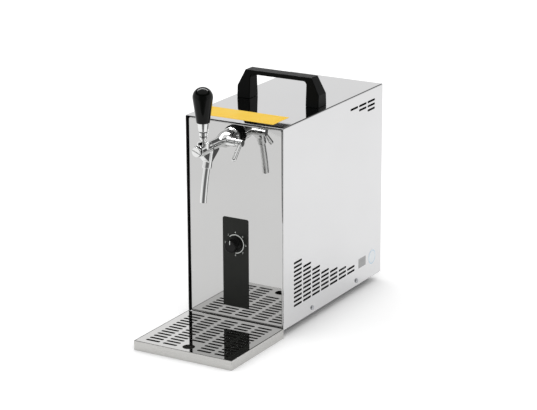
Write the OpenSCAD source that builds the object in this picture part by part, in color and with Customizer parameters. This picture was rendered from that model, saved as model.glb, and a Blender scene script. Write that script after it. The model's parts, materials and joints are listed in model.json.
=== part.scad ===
// Draft beer dispenser: a table-top dry cooler in a polished steel cabinet, with one compensator tap,
// a carry handle and a loose drip tray. The front face looks along -Y, +Z is up, the floor is Z = 0.

/* [Cabinet] */
// Width across the wrap cover
body_w = 175; // [170:1:200]
// Depth from the front panel's face to the rear edge of the cover
body_d = 323; // [315:1:360]
// Height of the cabinet without its feet
body_h = 324; // [316:1:380]
// Thickness of the steel sheet
sheet = 1; // [0.8:0.1:1.4]
// Outer radius of the cover's two top bends
bend_r = 2.5; // [1.8:0.1:4]
// Radius of the front and rear panels' top corners
corner_r = 5; // [3.5:0.5:8]
// Radius of the rolled front edge of the front panel
roll_r = 3; // [2:0.1:3.5]
// Open gap between the panels and the cover round them
panel_gap = 1.5; // [1:0.1:2]
// Gap between the base tray and the sheet next to it
lip_gap = 0.3; // [0.2:0.05:0.5]
// Depth of the panels' return lips
lip_d = 12; // [8:1:16]
// How far the front panel sits inside the cover's front edge
panel_in = 3; // [1:0.5:5]
// How far the rear panel sits inside the cover's rear edge
rear_inset = 2; // [1:0.5:4]
// Thickness of the base tray's sheet
base_t = 1.5; // [1:0.1:2]
// Height of the base tray's flanges
flange_h = 18; // [16:1:24]

/* [Vents] */
// Length of one vent slot
slot_l = 25; // [20:0.5:27]
// Height of one vent slot
slot_h = 3; // [2:0.1:4]
// Distance between the columns of slots
slot_pitch_y = 29.3; // [28:0.1:31]
// Distance between the rows of slots
slot_pitch_z = 7; // [5.5:0.1:7.5]
// Front end of the first low column, from the front face
vent_y = 29; // [25:1:37]
// Lowest row of slots, above the cabinet's bottom edge
vent_z = 30; // [26:1:36]
// Rear end of the last high column, from the cover's rear edge
high_vent_in = 27.5; // [20:0.5:40]
// Highest row of slots, below the cabinet's top
high_vent_drop = 20; // [16:1:28]
// Width of a rear vent slot
rear_slot_l = 100; // [60:1:110]

/* [Feet and screws] */
// Height of the rubber feet under the cabinet
foot_h = 13; // [10:0.5:18]
// Radius of a foot
foot_r = 8; // [7:0.5:10]
// Foot centre, in from the side of the cabinet
foot_in_x = 25; // [22:0.5:28]
// Foot centre, in from the cover's front and rear edges
foot_in_y = 47; // [40:1:55]
// Radius of the cabinet screws' thread
screw_r = 1.9; // [1.5:0.1:2.2]
// Radius of a screw's head
screw_head_r = 3.6; // [3.2:0.1:4]
// Height of a screw's head
screw_head_t = 1.8; // [1.4:0.1:2.4]
// Height of the side screws above the cabinet's bottom edge
side_screw_z = 9; // [8:0.5:13]
// Front side screw, from the front face
side_screw_y = 88; // [70:1:110]
// Distance between the two side screws
side_screw_gap = 149; // [120:1:165]

/* [Carry handle] */
// Width across the handle's legs
handle_w = 148; // [130:1:156]
// Height of the handle above the cabinet's top
handle_h = 46.6; // [42:0.5:60]
// Depth of the handle at its foot
handle_d = 27; // [24:0.5:34]
// Depth of the grip bar at its top
grip_d = 21; // [18:0.5:24]
// Thickness of the grip bar
grip_t = 7; // [5:0.5:10]
// Width of one leg
leg_w = 23; // [20:0.5:26]
// Front of the handle's foot, from the front face
handle_y = 129.5; // [100:0.5:160]
// Sideways reach of the slope at the top of a leg
slope_w = 14; // [10:0.5:16]
// Height of the slope at the top of a leg
slope_h = 27; // [20:0.5:30]
// Thickness of the strip under the top that takes the handle's screws
backing_t = 2; // [1.5:0.1:3]

/* [Control panel] */
// Width of the black plate
plate_w = 46; // [40:1:60]
// Height of the black plate
plate_h = 146; // [120:1:170]
// Thickness of the black plate
plate_t = 1; // [0.8:0.1:1.6]
// Corner radius of the black plate
plate_r = 3; // [1:0.5:6]
// Bottom of the plate above the cabinet's bottom edge
plate_up = 22.6; // [15:0.1:35]
// Dial centre, below the plate's top edge
dial_drop = 41.9; // [35:0.1:50]
// Radius of the dial knob
dial_r = 10.5; // [9:0.1:13]
// Length of the dial knob
dial_l = 17; // [14:0.5:22]
// Radius of the thermostat's shaft
dial_shaft_r = 3; // [2.5:0.1:3.5]

/* [Tap] */
// Tap axis below the cabinet's top
tap_drop = 22; // [20:0.5:30]
// Radius of the black rosette on the wall
rosette_r = 17; // [15.5:0.5:19]
// Thickness of the rosette
rosette_t = 7; // [6:0.5:9]
// Radius of the chrome collar in front of the rosette
collar_r = 15; // [13.5:0.5:15]
// Length of the chrome collar
collar_l = 6; // [4:0.5:9]
// Radius of the threaded shank through the front panel
shank_r = 7.5; // [7.3:0.1:8]
// Radius of the tap's bulb
bulb_r = 13.2; // [12.5:0.1:14.5]
// Length of the bulb before it narrows
bulb_l = 12; // [10:0.5:14]
// Radius of the neck behind the barrel
neck_r = 7.4; // [6.8:0.1:8]
// Radius of the front barrel
barrel_r = 9; // [8.5:0.1:10]
// Length of the front barrel
barrel_l = 30; // [28:0.5:32]
// Front end of the barrel, from the front face
tap_reach = 107; // [105:0.5:115]
// Radius of the slotted front cap
cap_r = 7.8; // [7:0.1:8.4]
// Length of the slotted front cap's rim
cap_l = 4.5; // [3:0.5:7]
// Lever axis, back from the barrel's front end
lever_back = 16.5; // [15:0.5:18]
// Radius of the lever's neck
lever_r = 3.2; // [2.8:0.1:3.4]
// Radius of the lever's hinge pin
pin_r = 1.5; // [1.2:0.1:1.8]
// Bottom of the knob above the tap axis
knob_up = 40.4; // [36:0.1:46]
// Height of the knob
knob_h = 54.8; // [48:0.1:62]
// Largest radius of the knob
knob_r = 15.5; // [14:0.1:18]
// Radius of the knob's foot
knob_foot_r = 10.2; // [9.5:0.1:11.5]

/* [Spout] */
// Outer radius of the spout tube
spout_r = 5; // [4.5:0.1:5.4]
// Wall of the spout tube
spout_wall = 1; // [0.8:0.1:1.4]
// Radius of the spout's bend along its middle line
spout_bend = 340; // [300:5:380]
// Slope of the spout at its upper end, from the vertical
spout_top_a = 18; // [16.5:0.5:20]
// Slope of the spout at its open end, from the vertical
spout_end_a = 8; // [6:0.5:9.5]
// Open end of the spout, from the front face
spout_reach = 93; // [91:0.5:95]
// Open end of the spout, below the tap axis
spout_drop = 83.5; // [80:0.5:88]

/* [Compensator] */
// Compensator axis, from the front face
comp_at = 35; // [33:0.5:36]
// Radius of the compensator's side boss
comp_boss_r = 6.5; // [5.5:0.1:7]
// Reach of the side boss from the tap axis
comp_boss_l = 24; // [20:0.5:28]
// Radius of the compensator's spindle
comp_spindle_r = 2.5; // [2.3:0.1:3]
// Length of the compensator's lever
comp_lever_l = 29; // [24:0.5:34]
// Slope of the compensator's lever below the horizontal
comp_lever_a = 45; // [30:1:60]

/* [Drip tray] */
// Depth of the drip tray
tray_d = 155.6; // [150:0.2:180]
// Height of the drip tray
tray_h = 15.4; // [13:0.2:20]
// Wall of the drip tray
tray_wall = 1; // [0.8:0.1:1.4]
// Gap between the drip tray and the cover's front edge
tray_gap = 0.4; // [0.3:0.1:0.8]
// Thickness of the grid
grid_t = 1.2; // [1:0.1:2]
// Gap round the grid
grid_gap = 0.4; // [0.3:0.1:0.8]
// Width of the ledge that carries the grid
ledge_w = 4; // [3:0.5:6]
// Length of a grid slot
grid_slot_l = 24.6; // [20:0.2:26]
// Width of a grid slot
grid_slot_w = 5; // [3.6:0.2:6]
// Distance between the columns of the grid's slots
grid_pitch_x = 30.7; // [29:0.1:32]
// Distance between the rows of the grid's slots
grid_pitch_y = 10.7; // [9:0.1:11.4]
// First row of slots, from the tray's front edge
grid_first = 14.2; // [10:0.1:15]
// Radius of the finger hole
finger_r = 9.5; // [8:0.5:11]
// Finger hole's centre, from the tray's front edge
finger_in = 19; // [17:0.5:22]

/* [Cooling unit] */
// Height of the shelf above the base tray's floor
shelf_h = 150; // [146:1:160]
// Thickness of the shelf's sheet
shelf_t = 1.5; // [1.2:0.1:2]
// Width of the aluminium cooling block
block_w = 112; // [108:1:114]
// Depth of the aluminium cooling block
block_d = 130; // [120:1:132]
// Height of the aluminium cooling block
block_h = 70; // [64:1:76]
// Thickness of the foam round the block
foam_t = 14; // [12:0.5:15]
// Radius of the coil tubes in the block
coil_r = 4; // [3.5:0.1:4.4]
// Distance between neighbouring coil tubes
coil_pitch = 22; // [21:0.5:22.5]
// Height of the evaporator tubes above the block's underside
evap_up = 18; // [15:0.5:20]
// Height of the beer tubes above the block's underside
beer_up = 52; // [50:0.5:56]
// Radius of the compressor's shell
shell_r = 52; // [48:1:54]
// Height of the compressor's shell
shell_h = 118; // [105:1:119]
// Height of the compressor's rubber mounts
mount_h = 9; // [7:0.5:10]
// Condenser's middle, from the front face
cond_y = 62; // [60:0.5:63]
// Depth of a condenser fin
fin_d = 36; // [30:1:38]
// Thickness of a condenser fin
fin_t = 0.6; // [0.4:0.1:1]
// Distance between condenser fins
fin_pitch = 5; // [4.5:0.1:5.2]
// Radius of the condenser's tube
cond_r = 3; // [2.5:0.1:3.2]
// Distance between the condenser's tubes
cond_pitch = 18; // [16:0.5:19]
// Radius of the fan's blade tips
fan_r = 44; // [38:1:45]
// Radius of the fan motor
motor_r = 17; // [14:0.5:20]

/* [Rear connections] */
// Reach of the push-in fittings behind the cover's rear edge
fitting_out = 20; // [18:0.5:26]
// Radius of the bore that takes an 8 mm line
line_bore_r = 4.05; // [3.5:0.05:4.5]
// Depth of the bore that takes a line
line_bore_l = 10; // [8:0.5:12]
// Air fitting, in from the side of the cabinet
air_in = 33.5; // [30:0.5:36]
// Height of the switch and the cable gland, below the cabinet's top
switch_drop = 47; // [42:1:55]
// Switch and cable gland, in from the sides of the cabinet
switch_in = 37.5; // [33:0.5:42]
// Radius of the cable gland's bore
gland_bore_r = 4; // [3:0.1:4.5]

/* [Hidden] */
$fn = 64;
hull_fn = 32;

// Clearances: beside fixed parts, in running fits, in drilled holes and round moving parts
slip = 0.2;
run = 0.05;
bore_fit = 0.1;
loose = 0.3;
// Overrun of a cut past the face it leaves
over = 1;

// Main heights and faces
bottom_z = foot_h;
top_z = foot_h + body_h;
panel_hw = body_w / 2 - sheet - panel_gap;
panel_h = body_h - sheet - panel_gap;
lip_hw = panel_hw - sheet;
base_hw = lip_hw - lip_gap;
cover_in = body_w / 2 - sheet;
base_z = bottom_z + sheet;
floor_z = base_z + base_t;
rear_y = body_d - rear_inset;
rear_in = rear_y - sheet;
front_reach = -panel_in - tray_gap - tray_d;
rear_reach = body_d + fitting_out;
depth_mid = (front_reach + rear_reach) / 2;

// Vent patterns: slots in each column, counted from the front, and rows on the rear panel
low_vents = [11, 9, 7, 5, 4, 3, 2];
high_vents = [1, 2, 3];
high_vent_y = body_d - high_vent_in - slot_l - (len(high_vents) - 1) * slot_pitch_y;
rear_rows = 14;

// Screws
screw_slot_w = 0.8;
screw_tip = 2;
cabinet_screw_l = body_w / 2 - base_hw + base_t + screw_tip;
side_boss_r = screw_head_r + 1.4;
side_boss_l = cover_in - lip_gap - base_hw;
rear_screw_pitch = 60;
foot_screw_tip = 4;
foot_recess = foot_h / 2;

// Carry handle
finger_round = 6;
handle_thread = 12;
handle_screw_gap = 12;

// Dial and thermostat
dial_z = bottom_z + plate_up + plate_h - dial_drop;
dial_skirt_l = 5;
dial_skirt_r = dial_r + 1.5;
dial_edge = 1.5;
dial_back = plate_t + loose;
dial_bore_l = dial_l / 2;
pointer_w = 1.4;
pointer_deep = 0.8;
bush_r = 5;
thermostat_w = 40;
thermostat_d = 28;
thermostat_h = 32;
shaft_in = sheet + thermostat_d / 3;
bulb_tube_r = 1;
bulb_probe_r = 3;
bulb_pocket = 40;
bulb_turn_y = 18;

// Tap axis and places along it, measured forward from the front face
tap_z = top_z - tap_drop;
lever_d = tap_reach - lever_back;
body_back = rosette_t + collar_l;
bulb_end = body_back + bulb_l;
taper_l = 28;
taper_end = bulb_end + taper_l;
taper_steps = 12;
bulb_round = 3;
barrel_back = tap_reach - barrel_l;
neck_lead = 4;
rosette_edge = 1;
collar_edge = 1.5;
cap_edge = 1;
cap_plug_l = 6;
cap_slot_a = 23;
cap_slot_w = 1.4;
cap_slot_deep = 1.2;

// Shank and nut
shank_tail = 30;
shank_bore_r = 3;
shank_in_tap = 4;
shank_front = body_back + shank_in_tap;
nut_t = 8;
nut_r = 15;

// Passages in the tap: cone chamber, seal room, valve seat, outflow and barrel bore
cone_bore_r = 7;
cone_bore_end = comp_at + cone_bore_r;
seal_room_r = 5.4;
seal_room_l = 5;
seat_d = cone_bore_end + seal_room_l;
seat_r = 3;
seat_l = 4;
outflow_r = 5;
barrel_bore_r = 6;
barrel_step = 2;
barrel_bore_d = barrel_back + barrel_step;

// Lever boss and slot
boss_r = 9.5;
boss_top = barrel_r + 1.5;
lever_slot_back = 6.5;
lever_slot_front = 11;

// Lever and knob
lever_tail = 4;
tail_r = 1.6;
tail_neck_r = 1.4;
stem_low_r = 5.5;
stem_low_up = 16;
stem_low_l = 3;
stem_ring_r = 6.2;
stem_groove = 1.6;
ferrule_l = 13;
ferrule_foot_r = 6.8;
ferrule_r = 8.6;
knob_stud_r = 4;
knob_stud_l = 14;
knob_edge = 0.8;
knob_mid = knob_h - knob_r;
knob_taper_a = asin(knob_r / norm([knob_foot_r, knob_mid])) - atan2(knob_foot_r, knob_mid);
knob_steps = 18;

// Plunger and seal
plunger_rod_r = 2.4;
guide_r = barrel_bore_r - run;
guide_room = 3;
guide_d = barrel_bore_d + guide_room;
guide_l = 4;
tongue_top = -lever_r - loose;
tongue_past = 5;
tail_pocket = tail_r + loose;
seal_l = 3;
seal_d = seat_d - seal_l;

// Spout arc centre and the upper end of the tube
spout_cy = -spout_reach + spout_bend * cos(spout_end_a);
spout_cz = tap_z - spout_drop - spout_bend * sin(spout_end_a);
spout_top_y = spout_cy - spout_bend * cos(spout_top_a);
spout_top_z = spout_cz + spout_bend * sin(spout_top_a);
socket_r = spout_r + 2;
socket_grip = 7;
socket_l = (tap_z - spout_top_z) / cos(spout_top_a);
web_t = 10;
web_lap = 2;
web_front = 6;
web_rise = 6;

// Compensator along X
comp_bush_r = 5.2;
comp_bush_l = 4;
comp_hub_r = 5.4;
comp_hub_l = 7;
comp_hub_x = comp_boss_l + comp_bush_l + loose;
comp_hub_bore = 5;
comp_thin_r = 2.8;
comp_tip_r = 3.6;
crank_r = 0.7;
crank_arm = 1.2;
crank_hl = 1.6;
spindle_in = crank_hl + 2 * slip;
crank_slot = crank_r + 0.4;

// Cone, from its thin rear end
cone_play = 2.5;
cone_d = shank_front + cone_play;
cone_l = comp_at - comp_spindle_r - cone_play / 2 - cone_d;
cone_tip_r = 3;
cone_r = 5;
cone_rim_l = 2;
cone_tail_h = 2.6;
cone_tail_end = comp_at + crank_slot + 1.2;

// Drip tray
ledge_t = 1;
tray_rim = tray_wall + grid_gap;
grid_margin = 9;
grid_side = floor((body_w / 2 - grid_margin - grid_slot_l / 2) / grid_pitch_x);
grid_rows = floor((tray_d - grid_first - grid_margin) / grid_pitch_y) + 1;
finger_rows = 3;

// Cooler stack
shelf_room = 45;
shelf_side = 3.4;
shelf_hw = base_hw - base_t - shelf_side;
shelf_y = sheet + shelf_room;
shelf_z = floor_z + shelf_h;
shelf_top = shelf_z + shelf_t;
shelf_leg = 20;
foam_fit = 0.5;
foam_margin = 6;
bend_room = 20;
foam_w = block_w + 2 * foam_t + 2 * foam_fit;
foam_d = block_d + 2 * bend_room + 2 * foam_t;
foam_y = shelf_y + foam_margin;
foam_rear = foam_y + foam_d;
shelf_d = foam_d + 2 * foam_margin;
lid_step = 1;
block_y = foam_y + foam_t + bend_room;
block_z = shelf_top + foam_t;
evap_z = block_z + evap_up;
beer_z = block_z + beer_up;
coil_stub = 4;
coil_front = foam_y - coil_stub;
coil_rear = foam_rear + coil_stub;
beer_tubes = 5;
evap_tubes = 4;
beer_x = (beer_tubes - 1) / 2 * coil_pitch;
evap_x = (evap_tubes - 1) / 2 * coil_pitch;
bend_lead = 3;

// Compressor
relay_w = 50;
relay_d = 26;
relay_h = 46;
relay_up = 10;
relay_bite = 8;
rear_room = 27;
shell_y = rear_in - rear_room - relay_d - shell_r;
foot_plate_w = 130;
foot_plate_d = 110;
foot_plate_t = 3;
foot_plate_in = 10;
plate_z = floor_z + mount_h;
shell_z = plate_z + foot_plate_t;
shell_top = shell_z + shell_h;
shell_round = 25;
grommet_r = 8;
bolt_r = 3;
bolt_head_r = 5.5;
bolt_head_h = 4;

// Condenser
fin_count = 20;
fin_foot = 4;
fin_head = 14;
cond_tubes = 5;
cond_first = 18;
cond_z = floor_z + cond_first;
cond_last = cond_z + (cond_tubes - 1) * cond_pitch;
fin_top = cond_last + fin_head;
fin_span = (fin_count - 1) * fin_pitch + fin_t;
fin_end_gap = 2;
frame_t = 1.2;
frame_hw = fin_span / 2 + fin_end_gap + frame_t;
cond_bend_x = frame_hw + bend_lead;
cond_end = frame_hw + 2 * bend_lead;

// Fan
shroud_gap = 4;
shroud_y = cond_y + fin_d / 2 + shroud_gap;
shroud_t = 1.5;
shroud_margin = 11;
shroud_w = 2 * (fan_r + shroud_margin);
fan_gap = 2;
fan_z = floor_z + fan_r + shroud_margin;
fan_lead = 5;
fan_y = shroud_y + shroud_t + fan_lead;
hub_r = 14;
hub_l = 12;
blade_count = 5;
blade_w = 24;
blade_t = 1.5;
blade_tilt = 25;
blade_root = hub_r - 2;
blade_reach = sqrt(fan_r * fan_r - blade_w * blade_w / 4);
motor_gap = 4;
motor_y = fan_y + hub_l + motor_gap;
motor_l = 24;
motor_shaft_r = 2;
motor_shaft_in = 15;
bracket_back = 12;
bracket_y = motor_y + bracket_back;
bracket_t = 2;
bracket_w = 44;
bracket_head = 5;
bracket_foot = 20;

// Refrigerant pipes: radii, bends and the distance between the side runs and the shelf's legs
gas_r = 3;
suction_r = 4;
cap_tube_r = 1.5;
pipe_bend = 6;
side_room = 6.3;
side_run = shelf_hw - shelf_t - side_room;
pipe_over = 8;
gas_x = 15;
gas_z = shell_top + pipe_over;
drier_r = 8;
drier_y = 150;
drier_low = floor_z + 34;
drier_l = 80;
cap_z = shelf_z - pipe_over;
cap_cross_z = evap_z + 16;
cap_run_y = coil_rear + 12;
suction_run_y = coil_rear + 22;
suction_low_z = shelf_z - suction_r - 5;

// Rear fittings and their collets
fitting_r = 7;
fitting_flange_r = 9;
fitting_nut_r = 10.5;
fitting_nut_t = 5;
fitting_tail = 14;
fitting_in = rear_in - fitting_tail;
hose_bore_r = coil_r - 1;
air_x = body_w / 2 - air_in;
collet_r = 6;
collet_rim_r = 7.5;
collet_rim_t = 2;
collet_bore_r = line_bore_r + loose;
collet_l = 4;
collet_play = 2;
fitting_mouth = rear_reach - collet_rim_t - collet_play;
line_stop_y = fitting_mouth - collet_l - collet_play - line_bore_l;

// Air pump and hoses
pump_w = 30;
pump_d = 36;
pump_h = 40;
pump_up = 5;
pump_top = shelf_top + pump_up + pump_h;
hose_turn_y = (coil_front + shank_tail) / 2;
air_turn_y = fitting_in - 9;

// Switch and gland
switch_x = body_w / 2 - switch_in;
switch_z = top_z - switch_drop;
switch_w = 27;
switch_h = 13;
switch_deep = 22;
switch_well = 8;
bezel = 2;
rocker_w = 21;
rocker_h = 9;
rocker_root = 2.5;
rocker_dip = 3;
rocker_peak = 4.2;
rocker_tilt = 8;
rocker_axis = 2;
rocker_pin_r = 1.2;
rocker_pin_hl = switch_w / 2 - 1.5;
rocker_swing = loose + 0.8;
gland_r = 7.5;
gland_nut_r = 10.5;
gland_hex_l = 6;
gland_out = 12;
gland_tip_r = gland_r - 1;
gland_inner_r = gland_bore_r + 0.5;

// Places where the same fastener is used more than once
function side_screws() =
  [for (i = [0, 1]) [side_screw_y + i * side_screw_gap, bottom_z + side_screw_z]];
function rear_screws() =
  [for (i = [-1 : 1]) [i * rear_screw_pitch, bottom_z + side_screw_z]];
function handle_holes() =
  [for (s = [-1, 1], t = [-1, 1])
    [s * (handle_w - leg_w) / 2, handle_y + (handle_d + t * handle_screw_gap) / 2]];
function foot_places() =
  [for (s = [-1, 1], y = [foot_in_y - panel_in, body_d - foot_in_y]) [s * (body_w / 2 - foot_in_x), y]];
function bolt_places() =
  [for (s = [-1, 1], t = [-1, 1])
    [s * (foot_plate_w / 2 - foot_plate_in), shell_y + t * (foot_plate_d / 2 - foot_plate_in)]];
function row_of_tubes(count) =
  [for (i = [0 : count - 1]) (i - (count - 1) / 2) * coil_pitch];

// Places the whole part so that the origin lies on the floor, mid-way along its depth
module place() {
  translate([0, -depth_mid, 0]) children();
}

// Extrudes an outline drawn in X and Z along +Y
module along_y(from, length) {
  translate([0, from + length, 0]) rotate([90, 0, 0]) linear_extrude(length) children();
}

// Extrudes an outline drawn in Y and Z along +X
module along_x(from, length) {
  translate([from, 0, 0]) rotate([90, 0, 90]) linear_extrude(length) children();
}

// Round bar along +Y
module rod_y(r, from, length) {
  translate([0, from, 0]) rotate([-90, 0, 0]) cylinder(r = r, h = length);
}

// Round bar along +X
module rod_x(r, from, length) {
  translate([from, 0, 0]) rotate([0, 90, 0]) cylinder(r = r, h = length);
}

// Round hole along +Z
module drill(r, from, length) {
  translate([0, 0, from]) cylinder(r = r, h = length);
}

// Six-sided nut along -Y from a face
module hex_y(r, face, length) {
  translate([0, face, 0]) rotate([90, 0, 0]) cylinder(r = r, h = length, $fn = 6);
}

// Turns an outline drawn in radius and forward distance about the tap axis
module turned_forward() {
  translate([0, 0, tap_z]) rotate([90, 0, 0]) rotate_extrude() children();
}

// Step of a turned outline, from one forward distance to another
module turned_step(r, from, to) {
  translate([0, from]) square([r, to - from]);
}

// Disc outline with a round outer edge at its far end
module turned_button(r, h, edge) {
  square([r, h - edge]);
  square([r - edge, h]);
  translate([r - edge, h - edge]) circle(edge);
}

// Rectangle with round top corners, standing on the X axis
module arch(w, h, r) {
  translate([-w / 2, 0]) square([w, h - r]);
  translate([r - w / 2, 0]) square([w - 2 * r, h]);
  for (s = [-1, 1]) translate([s * (w / 2 - r), h - r]) circle(r);
}

// Rectangle with four round corners, standing on the X axis
module soft_rect(w, h, r) {
  translate([-w / 2, r]) square([w, h - 2 * r]);
  translate([r - w / 2, 0]) square([w - 2 * r, h]);
  for (s = [-1, 1], z = [r, h - r]) translate([s * (w / 2 - r), z]) circle(r);
}

// Slot with round ends, from its left end
module slot(l, h) {
  translate([h / 2, -h / 2]) square([l - h, h]);
  for (x = [h / 2, l - h / 2]) translate([x, 0]) circle(h / 2);
}

// Direction from one point to another
function way(from, to) = (to - from) / norm(to - from);

// Quarter ring that leads one leg of a pipe into the next
module elbow(before, corner, after, r) {
  u = way(before, corner);
  v = way(corner, after);
  w = cross(u, v);
  centre = corner + pipe_bend * (v - u);
  multmatrix([
    [-v.x, u.x, w.x, centre.x],
    [-v.y, u.y, w.y, centre.y],
    [-v.z, u.z, w.z, centre.z]
  ]) rotate_extrude(angle = 90) translate([pipe_bend, 0]) circle(r);
}

// Round pipe through a list of points, with a round bend at each square corner
module pipe(points, r) {
  last = len(points) - 1;
  for (i = [0 : last - 1]) {
    along = way(points[i], points[i + 1]);
    from = i == 0 ? 0 : pipe_bend;
    to = norm(points[i + 1] - points[i]) - (i == last - 1 ? 0 : pipe_bend);
    translate(points[i] + from * along)
      rotate([0, acos(along.z), atan2(along.y, along.x)])
        cylinder(r = r, h = to - from);
  }
  if (last > 1)
    for (i = [1 : last - 1]) elbow(points[i - 1], points[i], points[i + 1], r);
}

// Half ring that joins two parallel tubes, open towards -Y, lying flat
module return_bend(pitch, r) {
  rotate_extrude(angle = 180) translate([pitch / 2, 0]) circle(r);
}

// Serpentine of tubes along Y in one flat layer, side by side in X
module serpentine(count, r, from, length, free_front, free_rear) {
  places = row_of_tubes(count);
  for (i = [0 : count - 1]) {
    last = i == count - 1;
    y_front = last && count % 2 == 1 ? free_front : from;
    y_rear = i == 0 || (last && count % 2 == 0) ? free_rear : from + length;
    translate([places[i], 0, 0]) rod_y(r, y_front, y_rear - y_front);
  }
  for (i = [0 : count - 2])
    translate([places[i] + coil_pitch / 2, i % 2 == 0 ? from : from + length, 0])
      rotate([0, 0, i % 2 == 0 ? 180 : 0]) return_bend(coil_pitch, r);
}

// Pan-head screw along +Z, head on top, its bearing face at Z = 0
module screw(length) {
  translate([0, 0, -length]) cylinder(r = screw_r, h = length);
  difference() {
    cylinder(r = screw_head_r, h = screw_head_t);
    translate([-screw_head_r, -screw_slot_w / 2, screw_head_t / 2])
      cube([2 * screw_head_r, screw_slot_w, screw_head_t]);
  }
}

// Cabinet

// Tray that carries the cooling unit, with flanges on all four sides and bosses that meet the cover
module base_plate() {
  boss_x = base_hw - base_t / 2;
  boss_l = side_boss_l + base_t / 2;
  color("silver") place() difference() {
    union() {
      difference() {
        translate([-base_hw, sheet, base_z]) cube([2 * base_hw, rear_in - sheet, flange_h]);
        translate([base_t - base_hw, sheet + base_t, floor_z])
          cube([2 * (base_hw - base_t), rear_in - sheet - 2 * base_t, flange_h]);
      }
      for (x = [boss_x, -boss_x - boss_l], p = side_screws())
        translate([0, p[0], p[1]]) rod_x(side_boss_r, x, boss_l);
    }
    for (p = side_screws())
      translate([0, p[0], p[1]]) rod_x(screw_r + bore_fit, -body_w, 2 * body_w);
    for (p = rear_screws())
      translate([p[0], 0, p[1]]) rod_y(screw_r + bore_fit, rear_in - base_t - over, base_t + 2 * over);
    for (p = foot_places())
      translate([p[0], p[1], 0]) drill(screw_r + bore_fit, base_z - over, base_t + 2 * over);
    for (p = bolt_places())
      translate([p[0], p[1], 0]) drill(bolt_r + bore_fit, base_z - over, base_t + 2 * over);
  }
}

// Front panel: a pan with a rolled front edge, whose lips slip inside the cover
module front_panel() {
  top = bottom_z + panel_h;
  color("lightgray") place() difference() {
    hull() for (s = [-1, 1]) {
      translate([s * (panel_hw - corner_r), 0, top - corner_r]) {
        translate([0, roll_r, 0]) rotate([90, 0, 0]) rotate_extrude($fn = hull_fn) intersection() {
          translate([corner_r - roll_r, 0]) circle(roll_r, $fn = hull_fn);
          translate([0, -roll_r]) square([corner_r, 2 * roll_r]);
        }
        translate([0, lip_d, 0]) rotate([90, 0, 0]) cylinder(r = corner_r, h = over, $fn = hull_fn);
      }
      translate([s * (panel_hw - roll_r), 0, bottom_z + roll_r]) {
        translate([0, roll_r, 0]) sphere(roll_r, $fn = hull_fn);
        translate([0, lip_d, 0]) rotate([90, 0, 0]) cylinder(r = roll_r, h = over, $fn = hull_fn);
      }
    }
    translate([0, 0, base_z])
      along_y(sheet, lip_d) arch(2 * lip_hw, panel_h - 2 * sheet, corner_r - sheet);
    translate([0, 0, tap_z]) rod_y(shank_r + loose, -over, lip_d);
    translate([0, 0, dial_z]) rod_y(bush_r + loose, -over, lip_d);
  }
}

// Side vents: a falling block of slots low down and a short rising one at the top rear
module side_vents() {
  for (i = [0 : len(low_vents) - 1], j = [0 : low_vents[i] - 1])
    translate([vent_y + i * slot_pitch_y, bottom_z + vent_z + j * slot_pitch_z]) slot(slot_l, slot_h);
  for (i = [0 : len(high_vents) - 1], j = [0 : high_vents[i] - 1])
    translate([high_vent_y + i * slot_pitch_y, top_z - high_vent_drop - j * slot_pitch_z])
      slot(slot_l, slot_h);
}

// One bent sheet: left side, top and right side
module wrap_cover() {
  color("gainsboro") place() difference() {
    translate([0, 0, bottom_z]) along_y(-panel_in, body_d + panel_in) difference() {
      arch(body_w, body_h, bend_r);
      translate([0, -over]) arch(body_w - 2 * sheet, body_h - sheet + over, bend_r - sheet);
    }
    along_x(-body_w, 2 * body_w) side_vents();
    for (p = side_screws())
      translate([0, p[0], p[1]]) rod_x(screw_r + slip, -body_w, 2 * body_w);
    for (p = handle_holes())
      translate([p[0], p[1], 0]) drill(screw_r + slip, top_z - sheet - over, sheet + 2 * over);
  }
}

// Rear panel: a pan like the front one, with vents and holes for the connections
module rear_panel() {
  cut_y = rear_in - over;
  cut_l = sheet + 2 * over;
  color("lightgray") place() difference() {
    translate([0, 0, bottom_z]) along_y(rear_y - lip_d, lip_d) arch(2 * panel_hw, panel_h, corner_r);
    translate([0, 0, base_z])
      along_y(rear_in - lip_d, lip_d) arch(2 * lip_hw, panel_h - 2 * sheet, corner_r - sheet);
    along_y(cut_y, cut_l)
      for (j = [0 : rear_rows - 1])
        translate([-rear_slot_l / 2, bottom_z + vent_z + j * slot_pitch_z]) slot(rear_slot_l, slot_h);
    for (p = rear_screws()) translate([p[0], 0, p[1]]) rod_y(screw_r + slip, cut_y, cut_l);
    for (x = [-beer_x, air_x]) translate([x, 0, beer_z]) rod_y(fitting_r + slip, cut_y, cut_l);
    translate([switch_x, 0, switch_z]) rod_y(gland_r + slip, cut_y, cut_l);
    translate([-switch_x - switch_w / 2 - slip, cut_y, switch_z - switch_h / 2 - slip])
      cube([switch_w + 2 * slip, cut_l, switch_h + 2 * slip]);
  }
}

// Screws that hold the cover and the rear panel to the base tray
module cabinet_screws() {
  color("whitesmoke") place() {
    for (s = [-1, 1], p = side_screws())
      translate([s * body_w / 2, p[0], p[1]]) rotate([0, s * 90, 0]) screw(cabinet_screw_l);
    for (p = rear_screws())
      translate([p[0], rear_y, p[1]]) rotate([-90, 0, 0]) screw(cabinet_screw_l);
  }
}

module rubber_feet() {
  color("black") place() for (p = foot_places()) translate([p[0], p[1], 0]) difference() {
    cylinder(r = foot_r, h = base_z);
    drill(screw_head_r + loose, -over, foot_recess + over);
    drill(screw_r + slip, 0, base_z + over);
  }
}

module foot_screws() {
  color("silver") place() for (p = foot_places())
    translate([p[0], p[1], foot_recess]) rotate([180, 0, 0])
      screw(floor_z - foot_recess + foot_screw_tip);
}

// Carry handle

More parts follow.
